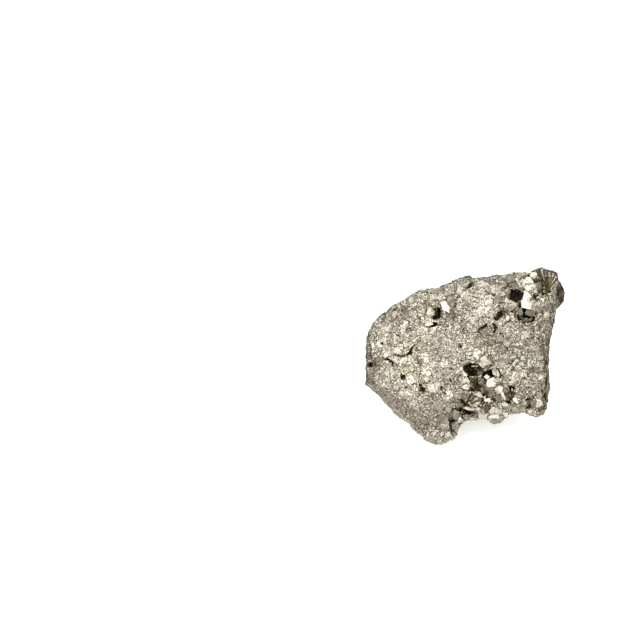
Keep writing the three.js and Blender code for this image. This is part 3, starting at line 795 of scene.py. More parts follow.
def face_point(spot, height):
    """The point at a height over the face that the camera sees at a place of it, all in mm."""
    nearer = (EYE_OUT - height) / EYE_OUT
    right = EYE_RIGHT + (spot[0] - EYE_RIGHT) * nearer
    up = EYE_UP + (spot[1] - EYE_UP) * nearer
    return FACE_MIDDLE + (FACE_RIGHT * right + FACE_UP * up + FACE_OUT * height) * MM


def is_stood_for(faces):
    """Whether finer crystals or blades stand for a crystal of the solid."""
    middle = sum((face.calc_center_median() for face in faces), Vector()) / len(faces)
    right, up, front = seen_places(np.array(middle))
    if front < FACE_BACK:
        return False
    places = [(x, y, max(w, h) + STAND_IN_REACH) for x, y, w, h, *_ in SHOWN_CRYSTALS + PALE_CRYSTALS]
    return any(math.hypot(right - x, up - y) < reach for x, y, reach in places + [FAN_PLACE])


def lean_shade_of(lean_right, lean_up):
    """How much painted shade, as brown, a shown crystal with a certain lean gets."""
    away = math.hypot(lean_right - BRIGHT_LEAN[0], lean_up - BRIGHT_LEAN[1])
    return max(0, min(LEAN_SHADE_MOST, (away - LEAN_SHADE_FROM) / LEAN_SHADE_OVER))


def make_crystals(groups, material):
    """One piece of the solid's own crystals and those that show on the broad face."""
    roll = random.Random(CRYSTAL_SEED)
    walls = BVHTree.FromBMesh(solid)
    whole = bmesh.new()
    tones = []
    browns = []
    forms = [(crisp_crystal(faces, roll), roll.random(), roll.choice(CRYSTAL_BROWN)) for faces in groups]
    forms += [(shown_crystal(walls, *values, roll), roll.uniform(*PALE_HIGHLIGHT_TONE), 0) for values in PALE_CRYSTALS]
    wide = [values for values in SHOWN_CRYSTALS if max(values[2:4]) > TWIN_LEAST]
    for values in SHOWN_CRYSTALS + [twin_of(values, roll) for values in wide]:
        forms.append((shown_crystal(walls, *values, roll), roll.uniform(*SHOWN_TONE), lean_shade_of(*values[5:])))
    for form, tone, brown in forms:
        grow_steps(form, roll)
        lay_growth_map(form)
        tones += [tone] * len(form.verts)
        browns += [brown] * len(form.verts)
        part = mesh_from("crystal", form)
        whole.from_mesh(part)
        bpy.data.meshes.remove(part)
    values = {"tone": tones, "hollow": np.zeros(len(tones)), "brown": browns}
    make_piece("crystals", mesh_from("crystals", whole), values, material)


def height_of(point):
    """How far a point, if there is one, lies before the middle of the face, in mm."""
    return None if point is None else (point - FACE_MIDDLE).dot(FACE_OUT) / MM


def height_at(walls, spot):
    """The height of the solid where the camera sees a spot of the broad face."""
    start, end = face_point(spot, RAY_START), face_point(spot, 0)
    return height_of(walls.ray_cast(start, end - start)[0])


def straight_height_at(walls, spot):
    """The height of the solid straight behind a spot before the broad face."""
    place = FACE_MIDDLE + FACE_RIGHT * spot[0] * MM + FACE_UP * spot[1] * MM
    return height_of(walls.ray_cast(place + FACE_OUT * RAY_START * MM, -FACE_OUT)[0])


def turned(way, degrees):
    """A flat direction turned anticlockwise."""
    cosine, sine = math.cos(math.radians(degrees)), math.sin(math.radians(degrees))
    return Vector((way[0] * cosine - way[1] * sine, way[0] * sine + way[1] * cosine))


def twin_of(values, roll):
    """The place of a smaller crystal grown through a shown one, with a lean of its own."""
    right, up, half_width, half_height, turn, lean_right, lean_up = values
    x, y = turned((TWIN_AWAY, 0), roll.uniform(0, 360))
    leans = [lean + roll.uniform(-TWIN_LEAN, TWIN_LEAN) for lean in (lean_right, lean_up)]
    halves = [half * roll.uniform(*TWIN_SIZE) for half in (half_width, half_height)]
    turn += roll.uniform(-TWIN_TURN, TWIN_TURN)
    return (right + x * half_width, up + y * half_height, *halves, turn, *leans)


def shown_crystal(walls, right, up, half_width, half_height, turn, lean_right, lean_up, roll):
    """One crystal with a face of a given lean to the viewer, rooted in the mass."""
    lean = FACE_RIGHT * math.tan(math.radians(lean_right)) + FACE_UP * math.tan(math.radians(lean_up))
    out = (FACE_OUT + lean).normalized()
    across = (FACE_RIGHT - out * FACE_RIGHT.dot(out)).normalized()
    along = out.cross(across)
    spots = [(0, 0), (half_width, 0), (-half_width, 0), (0, half_height), (0, -half_height)]
    heights = [height_at(walls, (right + SHOWN_SPOTS * x, up + SHOWN_SPOTS * y)) for x, y in spots]
    heights = sorted(height for height in heights if height is not None)
    heights = heights[1:] or heights
    middle = face_point((right, up), sum(heights) / len(heights) + SHOWN_LIFT)
    back = -out * min(half_width + half_height, SHOWN_WIDEST) * SHOWN_DEPTH / 2 * MM
    sides = roll.choice(SHOWN_SIDES)
    corners = []
    for n in range(sides):
        bearing = 45 + 360 * (n + roll.uniform(-CORNER_SHIFT, CORNER_SHIFT)) / sides
        x, y = turned((1, 0), bearing) * roll.uniform(*CORNER_REACH)
        x, y = turned((x * half_width, y * half_height), turn)
        corner = (across * x + along * y) * MM
        corners += [middle + corner, middle + corner * SHOWN_FLARE + back]
    ridge = turned((1, 0), roll.uniform(0, 180))
    for end in (-1, 1):
        x, y = ridge * end * roll.uniform(*RIDGE_REACH)
        lift = roll.uniform(0, SHOWN_RIDGE) * min(half_width, half_height)
        corners.append(middle + (across * x * half_width + along * y * half_height + out * lift) * MM)
    return worn_hull(corners)


def smooth_ground(walls):
    """The height of the solid at a spot, with the gaps that are narrower than a few blades filled."""
    ring = [turned((GROUND_REACH, 0), 45 * n) for n in range(8)]

    def height_over(spot):
        under = height_at(walls, spot)
        if under is None:
            return None
        around_it = [height_at(walls, spot + away) for away in ring]
        known = [height for height in around_it if height is not None and abs(height - under) < GROUND_DROP]
        return max(under, (sum(known) + under) / (len(known) + 1))

    return height_over


def lay_blade(form, ground, foot, way, reach, widths, rise, lift):
    """A closed bar with a roof that runs over the ground from a foot, and how many corners it has."""
    side = turned(way, 90)
    rows = []
    last = None
    for share in BLADE_SHARES:
        spot = foot + way * reach * share
        wide = widths[0] + (widths[1] - widths[0]) * share
        spots = [spot + side * wide, spot, spot - side * wide]
        heights = [height for height in map(ground, spots) if height is not None]
        past = len(heights) < 2
        if past and last is None:
            return 0
        last = max(heights + ([] if last is None else [last - BLADE_STEP]))
        eaves = last + rise
        crest = eaves + (0 if past or share == 1 else lift)
        root = min(heights + [eaves - BLADE_ROOT]) - BLADE_ROOT
        tops = [face_point(place, height) for place, height in zip(spots, (eaves, crest, eaves))]
        rows.append([face_point(spots[0], root), *tops, face_point(spots[2], root)])
        if past:
            break
    rows = [[form.verts.new(point) for point in row] for row in rows]
    for low_row, high_row in zip(rows, rows[1:]):
        for a, b in ((0, 1), (1, 2), (2, 3), (3, 4), (4, 0)):
            form.faces.new((low_row[a], high_row[a], high_row[b], low_row[b]))
    form.faces.new(rows[0][::-1])
    form.faces.new(rows[-1])
    return 5 * len(rows)


def make_blades(material):
    """Blades that fan out over the face, and the side-by-side ribs of striped crystals."""
    walls = BVHTree.FromBMesh(solid)
    roll = random.Random(BLADE_SEED)
    form = bmesh.new()
    values = {"tone": [], "brown": [], "hollow": []}

    def note(corners, *given):
        for name, value in zip(values, given):
            values[name] += [value] * corners

    ground = smooth_ground(walls)
    for foot, first, last, count, length, longer, half, ridge in BLADE_FANS:
        for n in range(count):
            is_shaded = n % 2
            way = turned((1, 0), first + (last - first) * (n + roll.uniform(*BLADE_SHIFT)) / count)
            reach = (length + longer * math.sqrt(n / count)) * roll.uniform(*BLADE_LENGTHS)
            lift = ridge * roll.uniform(*BLADE_RIDGES)
            start = Vector(foot) + way * reach * BLADE_START
            reach = reach * (1 - BLADE_START)
            widths = (half * BLADE_FOOT, half)
            corners = lay_blade(form, ground, start, way, reach, widths, BLADE_RISE, lift)
            # Every other blade is painted dark as shade, the others pale as if lit.
            tone = roll.uniform(*(SHADED_BLADE_TONE if is_shaded else LIT_BLADE_TONE))
            brown = roll.choice(SHADED_BLADE_BROWNS if is_shaded else LIT_BLADE_BROWNS)
            note(corners, tone, brown, DARK_BLADE_SHADE if is_shaded else 0)
    for middle, bearing, width, length, count, ridge in RIBS:
        way = turned((1, 0), bearing)
        half = width / count / 2
        for n in range(count):
            away = width * ((n + 0.5) / count - 0.5)
            roundness = math.sqrt(max(RIB_LEAST, 1 - (away / width * RIB_ROUND) ** 2))
            reach = length * roundness * roll.uniform(*RIB_LENGTHS)
            start = Vector(middle) + turned(way, -90) * away - way * reach / 2
            lift = ridge * roll.uniform(*RIB_RIDGES)
            corners = lay_blade(form, ground, start, way, reach, (half, half), 0, lift)
            note(corners, roll.random(), roll.choice(RIB_BROWN), 0)
    bmesh.ops.recalc_face_normals(form, faces=form.faces)
    lay_growth_map(form)
    make_piece("blades", mesh_from("blades", form), values, material)


# The skin.
def hemisphere(count):
    """Directions spread evenly over the half of a ball round +Z."""
    golden = math.pi * (3 - math.sqrt(5))
    for n in range(count):
        z = LOWEST_RAY + RAY_SPAN * (n + 0.5) / count
        across = math.sqrt(1 - z * z)
        yield Vector((across * math.cos(golden * n), across * math.sin(golden * n), z))


def hollowness(points, normals, walls):
    """How much of what each point faces is walled in within reach, from 0 to 1."""
    rays = list(hemisphere(HOLLOW_RAYS))
    values = np.zeros(len(points))
    for n, (point, normal) in enumerate(zip(points, normals)):
        normal = Vector(normal)
        turn = normal.to_track_quat("Z", "Y")
        start = Vector(point) + normal * HOLLOW_LIFT
        hits = 0.0
        for ray in rays:
            distance = walls.ray_cast(start, turn @ ray, HOLLOW_REACH)[3]
            if distance is not None:
                hits += 1 - FAR_WALL * distance / HOLLOW_REACH
        values[n] = hits / HOLLOW_RAYS
    return values


def smoothed(values, edges, rounds):
    """Values of the points of a mesh, each averaged with its neighbours'."""
    for _ in range(rounds):
        total = values.copy()
        count = np.ones(len(values))
        for a, b in ((0, 1), (1, 0)):
            np.add.at(total, edges[:, a], values[edges[:, b]])
            np.add.at(count, edges[:, a], 1)
        values = total / count
    return values


def noise_over(points, size, shift=(0, 0, 0)):
    """A soft random value for each point, from -1 to 1."""
    shift = Vector(shift)
    return np.array([noise.noise(point / size + shift) for point in map(Vector, points)])


def wobble_over(points, size):
    """A soft random way for each point."""
    return np.array([noise.noise_vector(point / size) for point in map(Vector, points)])


def broken_plane(point, size, height):
    """Each cell of the mass is a small plane with a tilt and a height of its own."""
    place = point / size
    middle = noise.voronoi(place)[1][0]
    tilt = noise.noise_vector(middle * TILT_DRAW)
    return ((place - middle).dot(tilt) + 0.6 * noise.noise(middle * HEIGHT_DRAW)) * height


def smooth_cell(point):
    """Whether a point lies on a wide smooth plane, and that plane's tone."""
    middle = noise.voronoi(point / PLANES[0][0])[1][0]
    return noise.noise(middle * SMOOTH_DRAW) > SMOOTH_FROM, 0.62 + 0.5 * noise.noise(middle * TONE_DRAW)


def web_depth(point):
    """Fine cracks between the cells of the mass, broken off here and there."""
    size, width, depth = WEB
    wobble = noise.noise_vector(point / (0.9 * MM)) * 0.12
    first, second = noise.voronoi(point / size + wobble)[0][:2]
    share = max(0.0, 1 - (second - first) * size / width)
    return share * depth * max(0.0, min(1.0, 2.5 * noise.noise(point / (4 * MM) + Vector((9, 2, 4))) + 0.3))


def pore_depth(point):
    """Round pores, one in the middle of some cells."""
    size, width, depth = PORES
    place = point / size
    middle = noise.voronoi(place)[1][0]
    if noise.noise(middle * PORE_DRAW) < PORE_FROM:
        return 0.0
    return depth * max(0.0, 1 - ((place - middle).length * size / width) ** 2)


def fissure_depths(points, normals):
    """How deep the fissures of the broad face cut at each point."""
    right, up, height = seen_places(points)
    wobble = sum(wobble_over(points, size) * reach for size, reach in FISSURE_WOBBLES)
    opening = noise_over(points, FISSURE_OPENING[0]) * FISSURE_OPENING[1] + 1
    flat = np.stack([right, up], 1) + wobble[:, :2]
    faces_out = np.clip(normals @ np.array(FACE_OUT) * FISSURE_ROUND, 0, 1) * (height > FISSURE_BACK)
    depths = np.zeros(len(points))
    for width, depth, *line in FISSURES:
        for start, end in zip(line, line[1:]):
            start, along = np.array(start), np.array(end) - np.array(start)
            share = np.clip((flat - start) @ along / (along @ along), 0, 1)
            distance = np.linalg.norm(flat - start - share[:, None] * along, axis=1)
            reach = distance / width / FISSURE_WIDTH / opening
            depths = np.maximum(depths, depth * np.clip(FISSURE_FLOOR - reach**2, 0, 1))
    return depths * faces_out * MM


def shoulder_share(points):
    """Which points belong to the smooth brown shoulder on the outer side of the knob."""
    right, up, _ = straight_places(points)
    reach = np.hypot((right - SHOULDER[0]) / SHOULDER[2], (up - SHOULDER[1]) / SHOULDER[3])
    return np.clip((SHOULDER_EDGE[0] - reach) / SHOULDER_EDGE[1], 0, 1)


def edge_shade_and_patches(points):
    """The darker right edge of the face, in upright streaks, partly tarnish and partly painted shade where it
    turns from the light, and the patches painted darker and browner.
    """
    right, up, height = seen_places(points)
    across, along = STREAKS
    streaks = np.array([noise.noise(Vector((x * across, y * along, 3))) for x, y in zip(right, up)])
    inside = np.clip((right - EDGE_RIGHT[0]) / EDGE_RIGHT[1], 0, 1)
    inside = inside * np.clip((EDGE_TOP[0] - up) / EDGE_TOP[1], 0, 1) * (up > EDGE_BOTTOM)
    strip = inside * np.clip(EDGE_SHARE + STREAK_SHARE * streaks, *STREAK_LIMITS)
    specks = noise_over(points, SPECK_SIZE)
    front = height > FACE_BACK
    for x, y, reach, most in DARKER_PATCHES:
        near = np.exp(-((right - x) ** 2 + (up - y) ** 2) / reach**2) * front
        strip = np.maximum(strip, near * np.clip(most * (1 + SPECK_SHARE * specks), 0, 1))
    return strip


def clear_share(points, margin):
    """Which points lie under what grew last: shown crystals, ribs and the fan of blades."""
    right, up, height = seen_places(points)
    places = [(x, y, max(w, h)) for x, y, w, h, *_ in SHOWN_CRYSTALS + PALE_CRYSTALS]
    places += [(*middle, width / 2) for middle, _, width, *_ in RIBS] + [FAN_PLACE]
    clear = np.zeros(len(points))
    for x, y, reach in places:
        distance = np.hypot(right - x, up - y)
        clear = np.maximum(clear, np.clip((reach + margin - distance) / CLEAR_EDGE, 0, 1))
    return clear * (height > FACE_BACK)


def close_seams(points, walls):
    """The points of the skin that lie too deep in a closed seam, raised between its two banks."""
    right, up, height = straight_places(points)
    flat = np.stack([right, up], 1)
    for width, depth, *line in CLOSED_SEAMS:
        for start, end in zip(line, line[1:]):
            start, along = np.array(start), np.array(end) - np.array(start)
            share = (flat - start) @ along / (along @ along)
            side = np.array([-along[1], along[0]]) / np.linalg.norm(along)
            off = (flat - start) @ side
            near = np.flatnonzero((np.abs(off) < width) & (share > 0) & (share < 1) & (height > SEAM_BACK))
            for n in near:
                foot = start + along * share[n]
                banks = [straight_height_at(walls, foot + side * width * way) for way in (-1, 1)]
                if None in banks:
                    continue
                sought = banks[0] + (banks[1] - banks[0]) * (off[n] / width + 1) / 2
                groove = max(0.0, 1 - (off[n] / GROOVE_HALF) ** 2) * depth
                rise = sought - groove - SKIN_SINK / MM - height[n]
                if 0 < rise < SEAM_RISE:
                    points[n] += np.array(FACE_OUT) * rise * MM
    return points


def side_numbers(points):
    """The side of the chunk that each point is on: front, back, left or right."""
    axes = np.array([FACE_RIGHT, FACE_UP, FACE_OUT])
    shares = (points - np.array(FACE_MIDDLE)) @ axes.T / np.array(HALF_SIZES)
    shares[:, 2] += FRONT_SHARE
    facing = np.abs(shares[:, 2]) >= np.abs(shares[:, :2]).max(axis=1)
    numbers = np.where(shares[:, 0] < 0, 2, 3)
    return np.where(facing, np.where(shares[:, 2] > 0, 0, 1), numbers)


def skin_values(groups, crisp, points, normals):
    """The heights of the skin over the solid, and how its grains and pebbles are spread."""
    walls = BVHTree.FromBMesh(solid)
    in_crystal = {face.index for faces in crisp for face in faces}
    covered = np.array([walls.find_nearest(p)[2] in in_crystal for p in points])
    nests = kdtree.KDTree(len(groups))
    for n, faces in enumerate(groups):
        nests.insert(faces[0].calc_center_median(), n)
    nests.balance()
    near_nest = np.array([math.exp(-((nests.find(p)[2] / NEST_REACH) ** 2)) for p in points])
    level = (points[:, 2] < BASE_LAYER) & (normals[:, 2] < DOWNWARD)
    relief = []
    cuts = []
    planes = np.array([smooth_cell(p) for p in map(Vector, points)])
    for point, (is_smooth, _) in zip(map(Vector, points), planes):
        height = noise.noise(point / LUMPS[0]) * LUMPS[1] + broken_plane(point, *PLANES[0])
        relief.append(height - SKIN_SINK + (0 if is_smooth else broken_plane(point, *PLANES[1])))
        vug = max(0.0, noise.noise(point / VUG[0]) - VUG_FROM) * VUG[1]
        cuts.append((web_depth(point), pore_depth(point), vug))
    cuts = np.array(cuts)
    fissures = fissure_depths(points, normals)
    cut = np.maximum(np.maximum(cuts[:, 0], cuts[:, 1]), fissures)
    height = np.array(relief) - cut - cuts[:, 2] * near_nest
    smooth = shoulder_share(points)
    height = height * (1 - SHOULDER_CALM * smooth)
    height = np.where(covered, -UNDER_CRYSTAL, height)
    clear = clear_share(points, GRAIN_MARGIN)
    height = height * (1 - CLEAR_CALM * clear) - UNDER_CRYSTAL * clear
    height[level] = 0
    even = np.maximum(planes[:, 0], SHOULDER_CALM * smooth)
    shaded_edge_and_patches = edge_shade_and_patches(points)
    bare = np.where(level, 0, np.where(covered, COVERED_BARE, 1)) * np.clip(1.2 - cut / DEEP_CUT, 0, 1)
    room = np.minimum(points - np.array(cad_low), np.array(cad_high) - points)
    room[:, 2] = np.where(points[:, 2] < 1 * MM, 1 * MM, room[:, 2])
    room = np.clip(room.min(axis=1) / ROOM, 0, 1)
    coarse = noise_over(points, COARSE_PATCHES, (5, 5, 5))
    grains = bare * np.clip(0.7 + 0.9 * noise_over(points, GRAIN_PATCHES, (1, 8, 3)), 0.2, 1)
    grains = grains * (1 - SHOULDER_BARE * smooth) * (1 - CLEAR_BARE * clear) * (1 - EVEN_BARE * even)
    pebbles = bare * (0.1 + 0.9 * near_nest) * room * (1 - smooth)
    pebbles = pebbles * (1 - clear_share(points, PEBBLE_MARGIN))
    return height, {
        "coarse": (1 + 0.4 * coarse + 0.25 * near_nest) * (0.5 + 0.5 * room),
        "pebbles": pebbles,
        "grains": grains,
        "brown": np.maximum(smooth, shaded_edge_and_patches),
        "even": even,
        "plane_tone": planes[:, 1],
    }


def make_skin(groups, crisp, material):
    """The skin in four parts, each with what the strewing reads."""
    mesh = bpy.data.meshes.new("skin")
    solid.to_mesh(mesh)
    whole = new_object("whole_skin", mesh)
    remesh = whole.modifiers.new("remesh", "REMESH")
    remesh.mode = "VOXEL"
    remesh.voxel_size = SKIN_VOXEL
    apply_modifiers(whole)
    mesh = whole.data
    count = len(mesh.vertices)
    points = read_vectors(mesh.vertices, "co", count)
    normals = read_vectors(mesh.vertex_normals, "vector", count)
    edges = np.empty(len(mesh.edges) * 2, np.int32)
    mesh.edges.foreach_get("vertices", edges)
    corners = np.empty(len(mesh.loops), np.int32)
    mesh.loops.foreach_get("vertex_index", corners)
    corners = corners.reshape(-1, 4)

    height, spread = skin_values(groups, crisp, points, normals)
    points = close_seams(points, BVHTree.FromBMesh(solid)) + normals * height[:, None]
    walls = BVHTree.FromPolygons(points.tolist(), corners.tolist())
    # How walled in each point is, which the finish paints as shade.
    hollow = smoothed(hollowness(points, normals, walls), edges.reshape(-1, 2), 1)
    roll = np.random.default_rng(TONE_SEED)
    tone = np.where(spread["even"] > 0, spread.pop("plane_tone"), roll.random(count))
    values = {"hollow": hollow, "tone": tone, **spread}
    bpy.data.objects.remove(whole)

    sides = side_numbers(points[corners].mean(axis=1))
    parts = {}
    for number, side in enumerate(SIDES):
        kept = corners[sides == number]
        used, places = np.unique(kept, return_inverse=True)
        mesh = bpy.data.meshes.new(f"skin_{side}")
        mesh.from_pydata(points[used].tolist(), [], places.reshape(-1, 4).tolist())
        own_values = {name: value[used] for name, value in values.items()}
        parts[side] = make_piece(f"skin_{side}", mesh, own_values, material)
    return parts


# The loose forms that grains and pebbles are made of, one unit across.
def cube_corners(size=0.36):
    """The corners of a cube, given half its size."""
    return [Vector((x, y, z)) * size for x in (-1, 1) for y in (-1, 1) for z in (-1, 1)]


def pyritohedron_corners(size=0.33):
    """The corners of the cube in a pyritohedron, and those of its six roof ridges."""
    corners = cube_corners(size)
    for a in (-1, 1):
        for b in (-1, 1):
            long, short = a * size * 1.5, b * size * 0.75
            corners += [Vector((0, long, short)), Vector((short, 0, long)), Vector((long, short, 0))]
    return corners


def chip_corners(roll, count):
    """The corners of a chip: points near the surface of a ball."""
    corners = []
    for _ in range(count):
        way = Vector([roll.gauss(0, 1) for _ in range(3)]).normalized()
        corners.append(way * roll.uniform(*CHIP_REACH))
    return corners


def form_collection(name, corner_lists):
    """The forms as objects of a collection that is only read by the tree that strews them."""
    kept = bpy.data.collections.new(name)
    for n, corners in enumerate(corner_lists):
        form = plain_hull(corners)
        lay_growth_map(form)
        form_name = f"{name}_{n}"
        kept.objects.link(bpy.data.objects.new(form_name, mesh_from(form_name, form)))
    return kept


def strewing_tree(name, forms):
    """Geometry nodes that strew forms over a mesh, with a tone of its own for each."""
    inputs = [
        ("Geometry", "NodeSocketGeometry"),
        ("Gap", "NodeSocketFloat"),
        ("Least Size", "NodeSocketFloat"),
        ("Greatest Size", "NodeSocketFloat"),
        ("Bias", "NodeSocketFloat"),
        ("Sink", "NodeSocketFloat"),
        ("Cover", "NodeSocketString"),
        ("Seed", "NodeSocketInt"),
        ("Material", "NodeSocketMaterial"),
    ]
    tree, given, result = new_group(name, "GeometryNodeTree", inputs, [("Geometry", "NodeSocketGeometry")])

    def named(attribute):
        sockets = {"Name": attribute}
        return put_node(tree, "GeometryNodeInputNamedAttribute", sockets, data_type="FLOAT").outputs[0]

    def rolled(kind, least, most, turn):
        sockets = {"Min": least, "Max": most, "Seed": math_node(tree, "ADD", given["Seed"], float(turn))}
        made = put_node(tree, "FunctionNodeRandomValue", sockets, data_type=kind)
        return next(s for s in made.outputs if s.enabled)

    density = math_node(tree, "DIVIDE", CROWDING, math_node(tree, "POWER", given["Gap"], 2.0))
    strewn = put_node(
        tree,
        "GeometryNodeDistributePointsOnFaces",
        {
            "Mesh": given["Geometry"],
            "Distance Min": given["Gap"],
            "Density Max": density,
            "Density Factor": named(given["Cover"]),
            "Seed": given["Seed"],
        },
        distribute_method="POISSON",
    )
    share = math_node(tree, "POWER", rolled("FLOAT", 0.0, 1.0, 1), given["Bias"])
    size = evenly(tree, share, given["Least Size"], given["Greatest Size"])
    size = times(tree, size, named("coarse"))
    shape = rolled("FLOAT_VECTOR", [STRETCH[0]] * 3, [STRETCH[1]] * 3, 2)
    scale = vector_math(tree, "SCALE", {0: shape, 3: size})
    spin = rolled("FLOAT_VECTOR", (0, 0, 0), (math.tau, math.tau, math.tau), 3)
    rotation = put_node(tree, "FunctionNodeEulerToRotation", {"Euler": spin}).outputs[0]
    sockets = {"Collection": forms, "Separate Children": True, "Reset Children": True}
    kept = put_node(tree, "GeometryNodeCollectionInfo", sockets)
    inward = times(tree, size, times(tree, given["Sink"], -1.0))
    offset = vector_math(tree, "SCALE", {0: strewn.outputs["Normal"], 3: inward})
    sunk = put_node(tree, "GeometryNodeSetPosition", {"Geometry": strewn.outputs["Points"], "Offset": offset})
    placed = put_node(
        tree,
        "GeometryNodeInstanceOnPoints",
        {
            "Points": sunk.outputs[0],
            "Instance": kept.outputs[0],
            "Pick Instance": True,
            "Instance Index": rolled("INT", 0, len(forms.objects) - 1, 4),
            "Rotation": rotation,
            "Scale": scale,
        },
    )
    toned = put_node(
        tree,
        "GeometryNodeStoreNamedAttribute",
        {"Geometry": placed.outputs[0], "Name": "tone", "Value": rolled("FLOAT", 0.0, 1.0, 5)},
        data_type="FLOAT",
        domain="INSTANCE",
    )
    real = put_node(tree, "GeometryNodeRealizeInstances", {"Geometry": toned.outputs[0]})
    sockets = {"Geometry": real.outputs[0], "Material": given["Material"]}
    done = put_node(tree, "GeometryNodeSetMaterial", sockets)
    tree.links.new(done.outputs[0], result[0])
    return tree


def drop_attributes(mesh):
    """Takes off what only the strewing reads."""
    for spare in SPREADS:
        found = mesh.attributes.get(spare)
        if found:
            mesh.attributes.remove(found)


def strew(name, skin, tree, values, material):
    """A piece of real facets: the forms that the tree strews over the skin."""
    piece = new_object(name, skin.data.copy())
    strewing = piece.modifiers.new("strewing", "NODES")
    strewing.node_group = tree
    places = {item.name: item.identifier for item in tree.interface.items_tree if item.in_out == "INPUT"}
    for socket_name, value in values.items():
        strewing[places[socket_name]] = value
    strewing[places["Material"]] = material
    apply_modifiers(piece)
    drop_attributes(piece.data)
    keep_in_box(piece.data)
    finish_piece(piece, material)


# Finishes.
def facet_group():
    """Small flat facets, each with a tilt of its own, as a normal."""
    inputs = [("Facet Size", "NodeSocketFloat"), ("Tilt", "NodeSocketFloat")]
    outputs = [("Normal", "NodeSocketVector")]
    tree, given, result = new_group("Small Facets", "ShaderNodeTree", inputs, outputs)
    place = put_node(tree, "ShaderNodeTexCoord").outputs["Object"]
    scale = math_node(tree, "DIVIDE", 1.0, given["Facet Size"])
    cells = put_node(tree, "ShaderNodeTexVoronoi", {"Vector": place, "Scale": scale}).outputs["Color"]
    centred = vector_math(tree, "SUBTRACT", {0: cells, 1: (0.5, 0.5, 0.5)})
    tilt = vector_math(tree, "SCALE", {0: centred, 3: given["Tilt"]})
    flat = put_node(tree, "ShaderNodeNewGeometry").outputs["Normal"]
    tilted = vector_math(tree, "ADD", {0: flat, 1: tilt})
    tree.links.new(vector_math(tree, "NORMALIZE", {0: tilted}), result[0])
    return tree


def finish_group():
    """The colour and roughness of pyrite: pale metal, greyer and brassier in places, with olive oxide and
    painted shade in hollows, and painted near-black shade in pores.
    """
    inputs = [
        ("Tone", "NodeSocketFloat"),
        ("Hollow Shade", "NodeSocketFloat"),
        ("Brown", "NodeSocketFloat"),
        ("Pits", "NodeSocketFloat"),
        ("Least Roughness", "NodeSocketFloat"),
        ("Greatest Roughness", "NodeSocketFloat"),
    ]
    outputs = [("Color", "NodeSocketColor"), ("Roughness", "NodeSocketFloat"), ("Metal", "NodeSocketFloat")]
    tree, given, result = new_group("Pyrite Finish", "ShaderNodeTree", inputs, outputs)
    place = put_node(tree, "ShaderNodeTexCoord").outputs["Object"]
    wide = patches_node(tree, place, WIDE_PATCHES, 3.0)[0]
    fine = patches_node(tree, place, FINE_PATCHES)[0]
    color = mix_colors(tree, ramp(tree, given["Tone"], *PALE_RAMP), GREY, PALE)
    brassy = times(tree, ramp(tree, wide, 0.5, 0.72), ramp(tree, fine, 0.35, 0.7))
    color = mix_colors(tree, times(tree, brassy, BRASS_SHARE), color, BRASS)
    tint = patches_node(tree, place, TINT_PATCHES)[0]
    color = mix_colors(tree, ramp(tree, tint, 0.52, 0.66), color, GREEN_TINT, blend="MULTIPLY")
    color = mix_colors(tree, ramp(tree, tint, 0.48, 0.34), color, PINK_TINT, blend="MULTIPLY")
    # Olive in hollows: partly oxide, partly painted shade.
    olive_oxide_and_shade = times(tree, ramp(tree, given["Hollow Shade"], *OLIVE_RAMP), OLIVE_SHARE)
    color = mix_colors(tree, olive_oxide_and_shade, color, OLIVE)
    color = mix_colors(tree, times(tree, given["Brown"], BROWN_SHARE), color, BROWN)
    # Painted shade: near black deep in hollows, broken up by the fine patches.
    uneven = times(tree, ramp(tree, fine, 0.35, 0.65), -0.22)
    pore_shade = ramp(tree, math_node(tree, "ADD", given["Hollow Shade"], uneven), *PORE_SHADE_RAMP)
    color = mix_colors(tree, pore_shade, color, PORE_SHADE)
    # Painted shade of pinholes and hairlines.
    color = mix_colors(tree, times(tree, pit_shade_mask(tree, place, wide), given["Pits"]), color, PORE_SHADE)
    rough = ramp(tree, given["Tone"], 0.0, 1.0, given["Greatest Roughness"], given["Least Roughness"])
    rough = math_node(tree, "ADD", rough, times(tree, pore_shade, PORE_ROUGHNESS))
    metal = ramp(tree, pore_shade, 0.2, 1.0, 1.0, PORE_METAL)
    tree.links.new(color, result["Color"])
    tree.links.new(rough, result["Roughness"])
    tree.links.new(metal, result["Metal"])
    return tree


def pit_shade_mask(tree, place, wide):
    """The painted shade of pinholes and hairlines, which are too small to be cut into the mass."""
    spots = put_node(tree, "ShaderNodeTexVoronoi", {"Vector": place, "Scale": PINHOLES}).outputs
    chosen = put_node(tree, "ShaderNodeSeparateXYZ", {0: spots["Color"]}).outputs["X"]
    holes = times(tree, ramp(tree, chosen, 0.4, 0.45), ramp(tree, spots["Distance"], 0.3, 0.16))
    warp = patches_node(tree, place, HAIRLINE_BENDS)["Color"]
    warp = vector_math(tree, "SCALE", {0: warp, 3: HAIRLINE_WARP})
    sockets = {"Vector": vector_math(tree, "ADD", {0: place, 1: warp}), "Scale": HAIRLINES}
    edges = put_node(tree, "ShaderNodeTexVoronoi", sockets, feature="DISTANCE_TO_EDGE").outputs[0]
    lines = times(tree, ramp(tree, edges, 0.05, 0.015), ramp(tree, wide, 0.42, 0.55))
    return math_node(tree, "MAXIMUM", holes, times(tree, lines, HAIRLINE_SHARE))


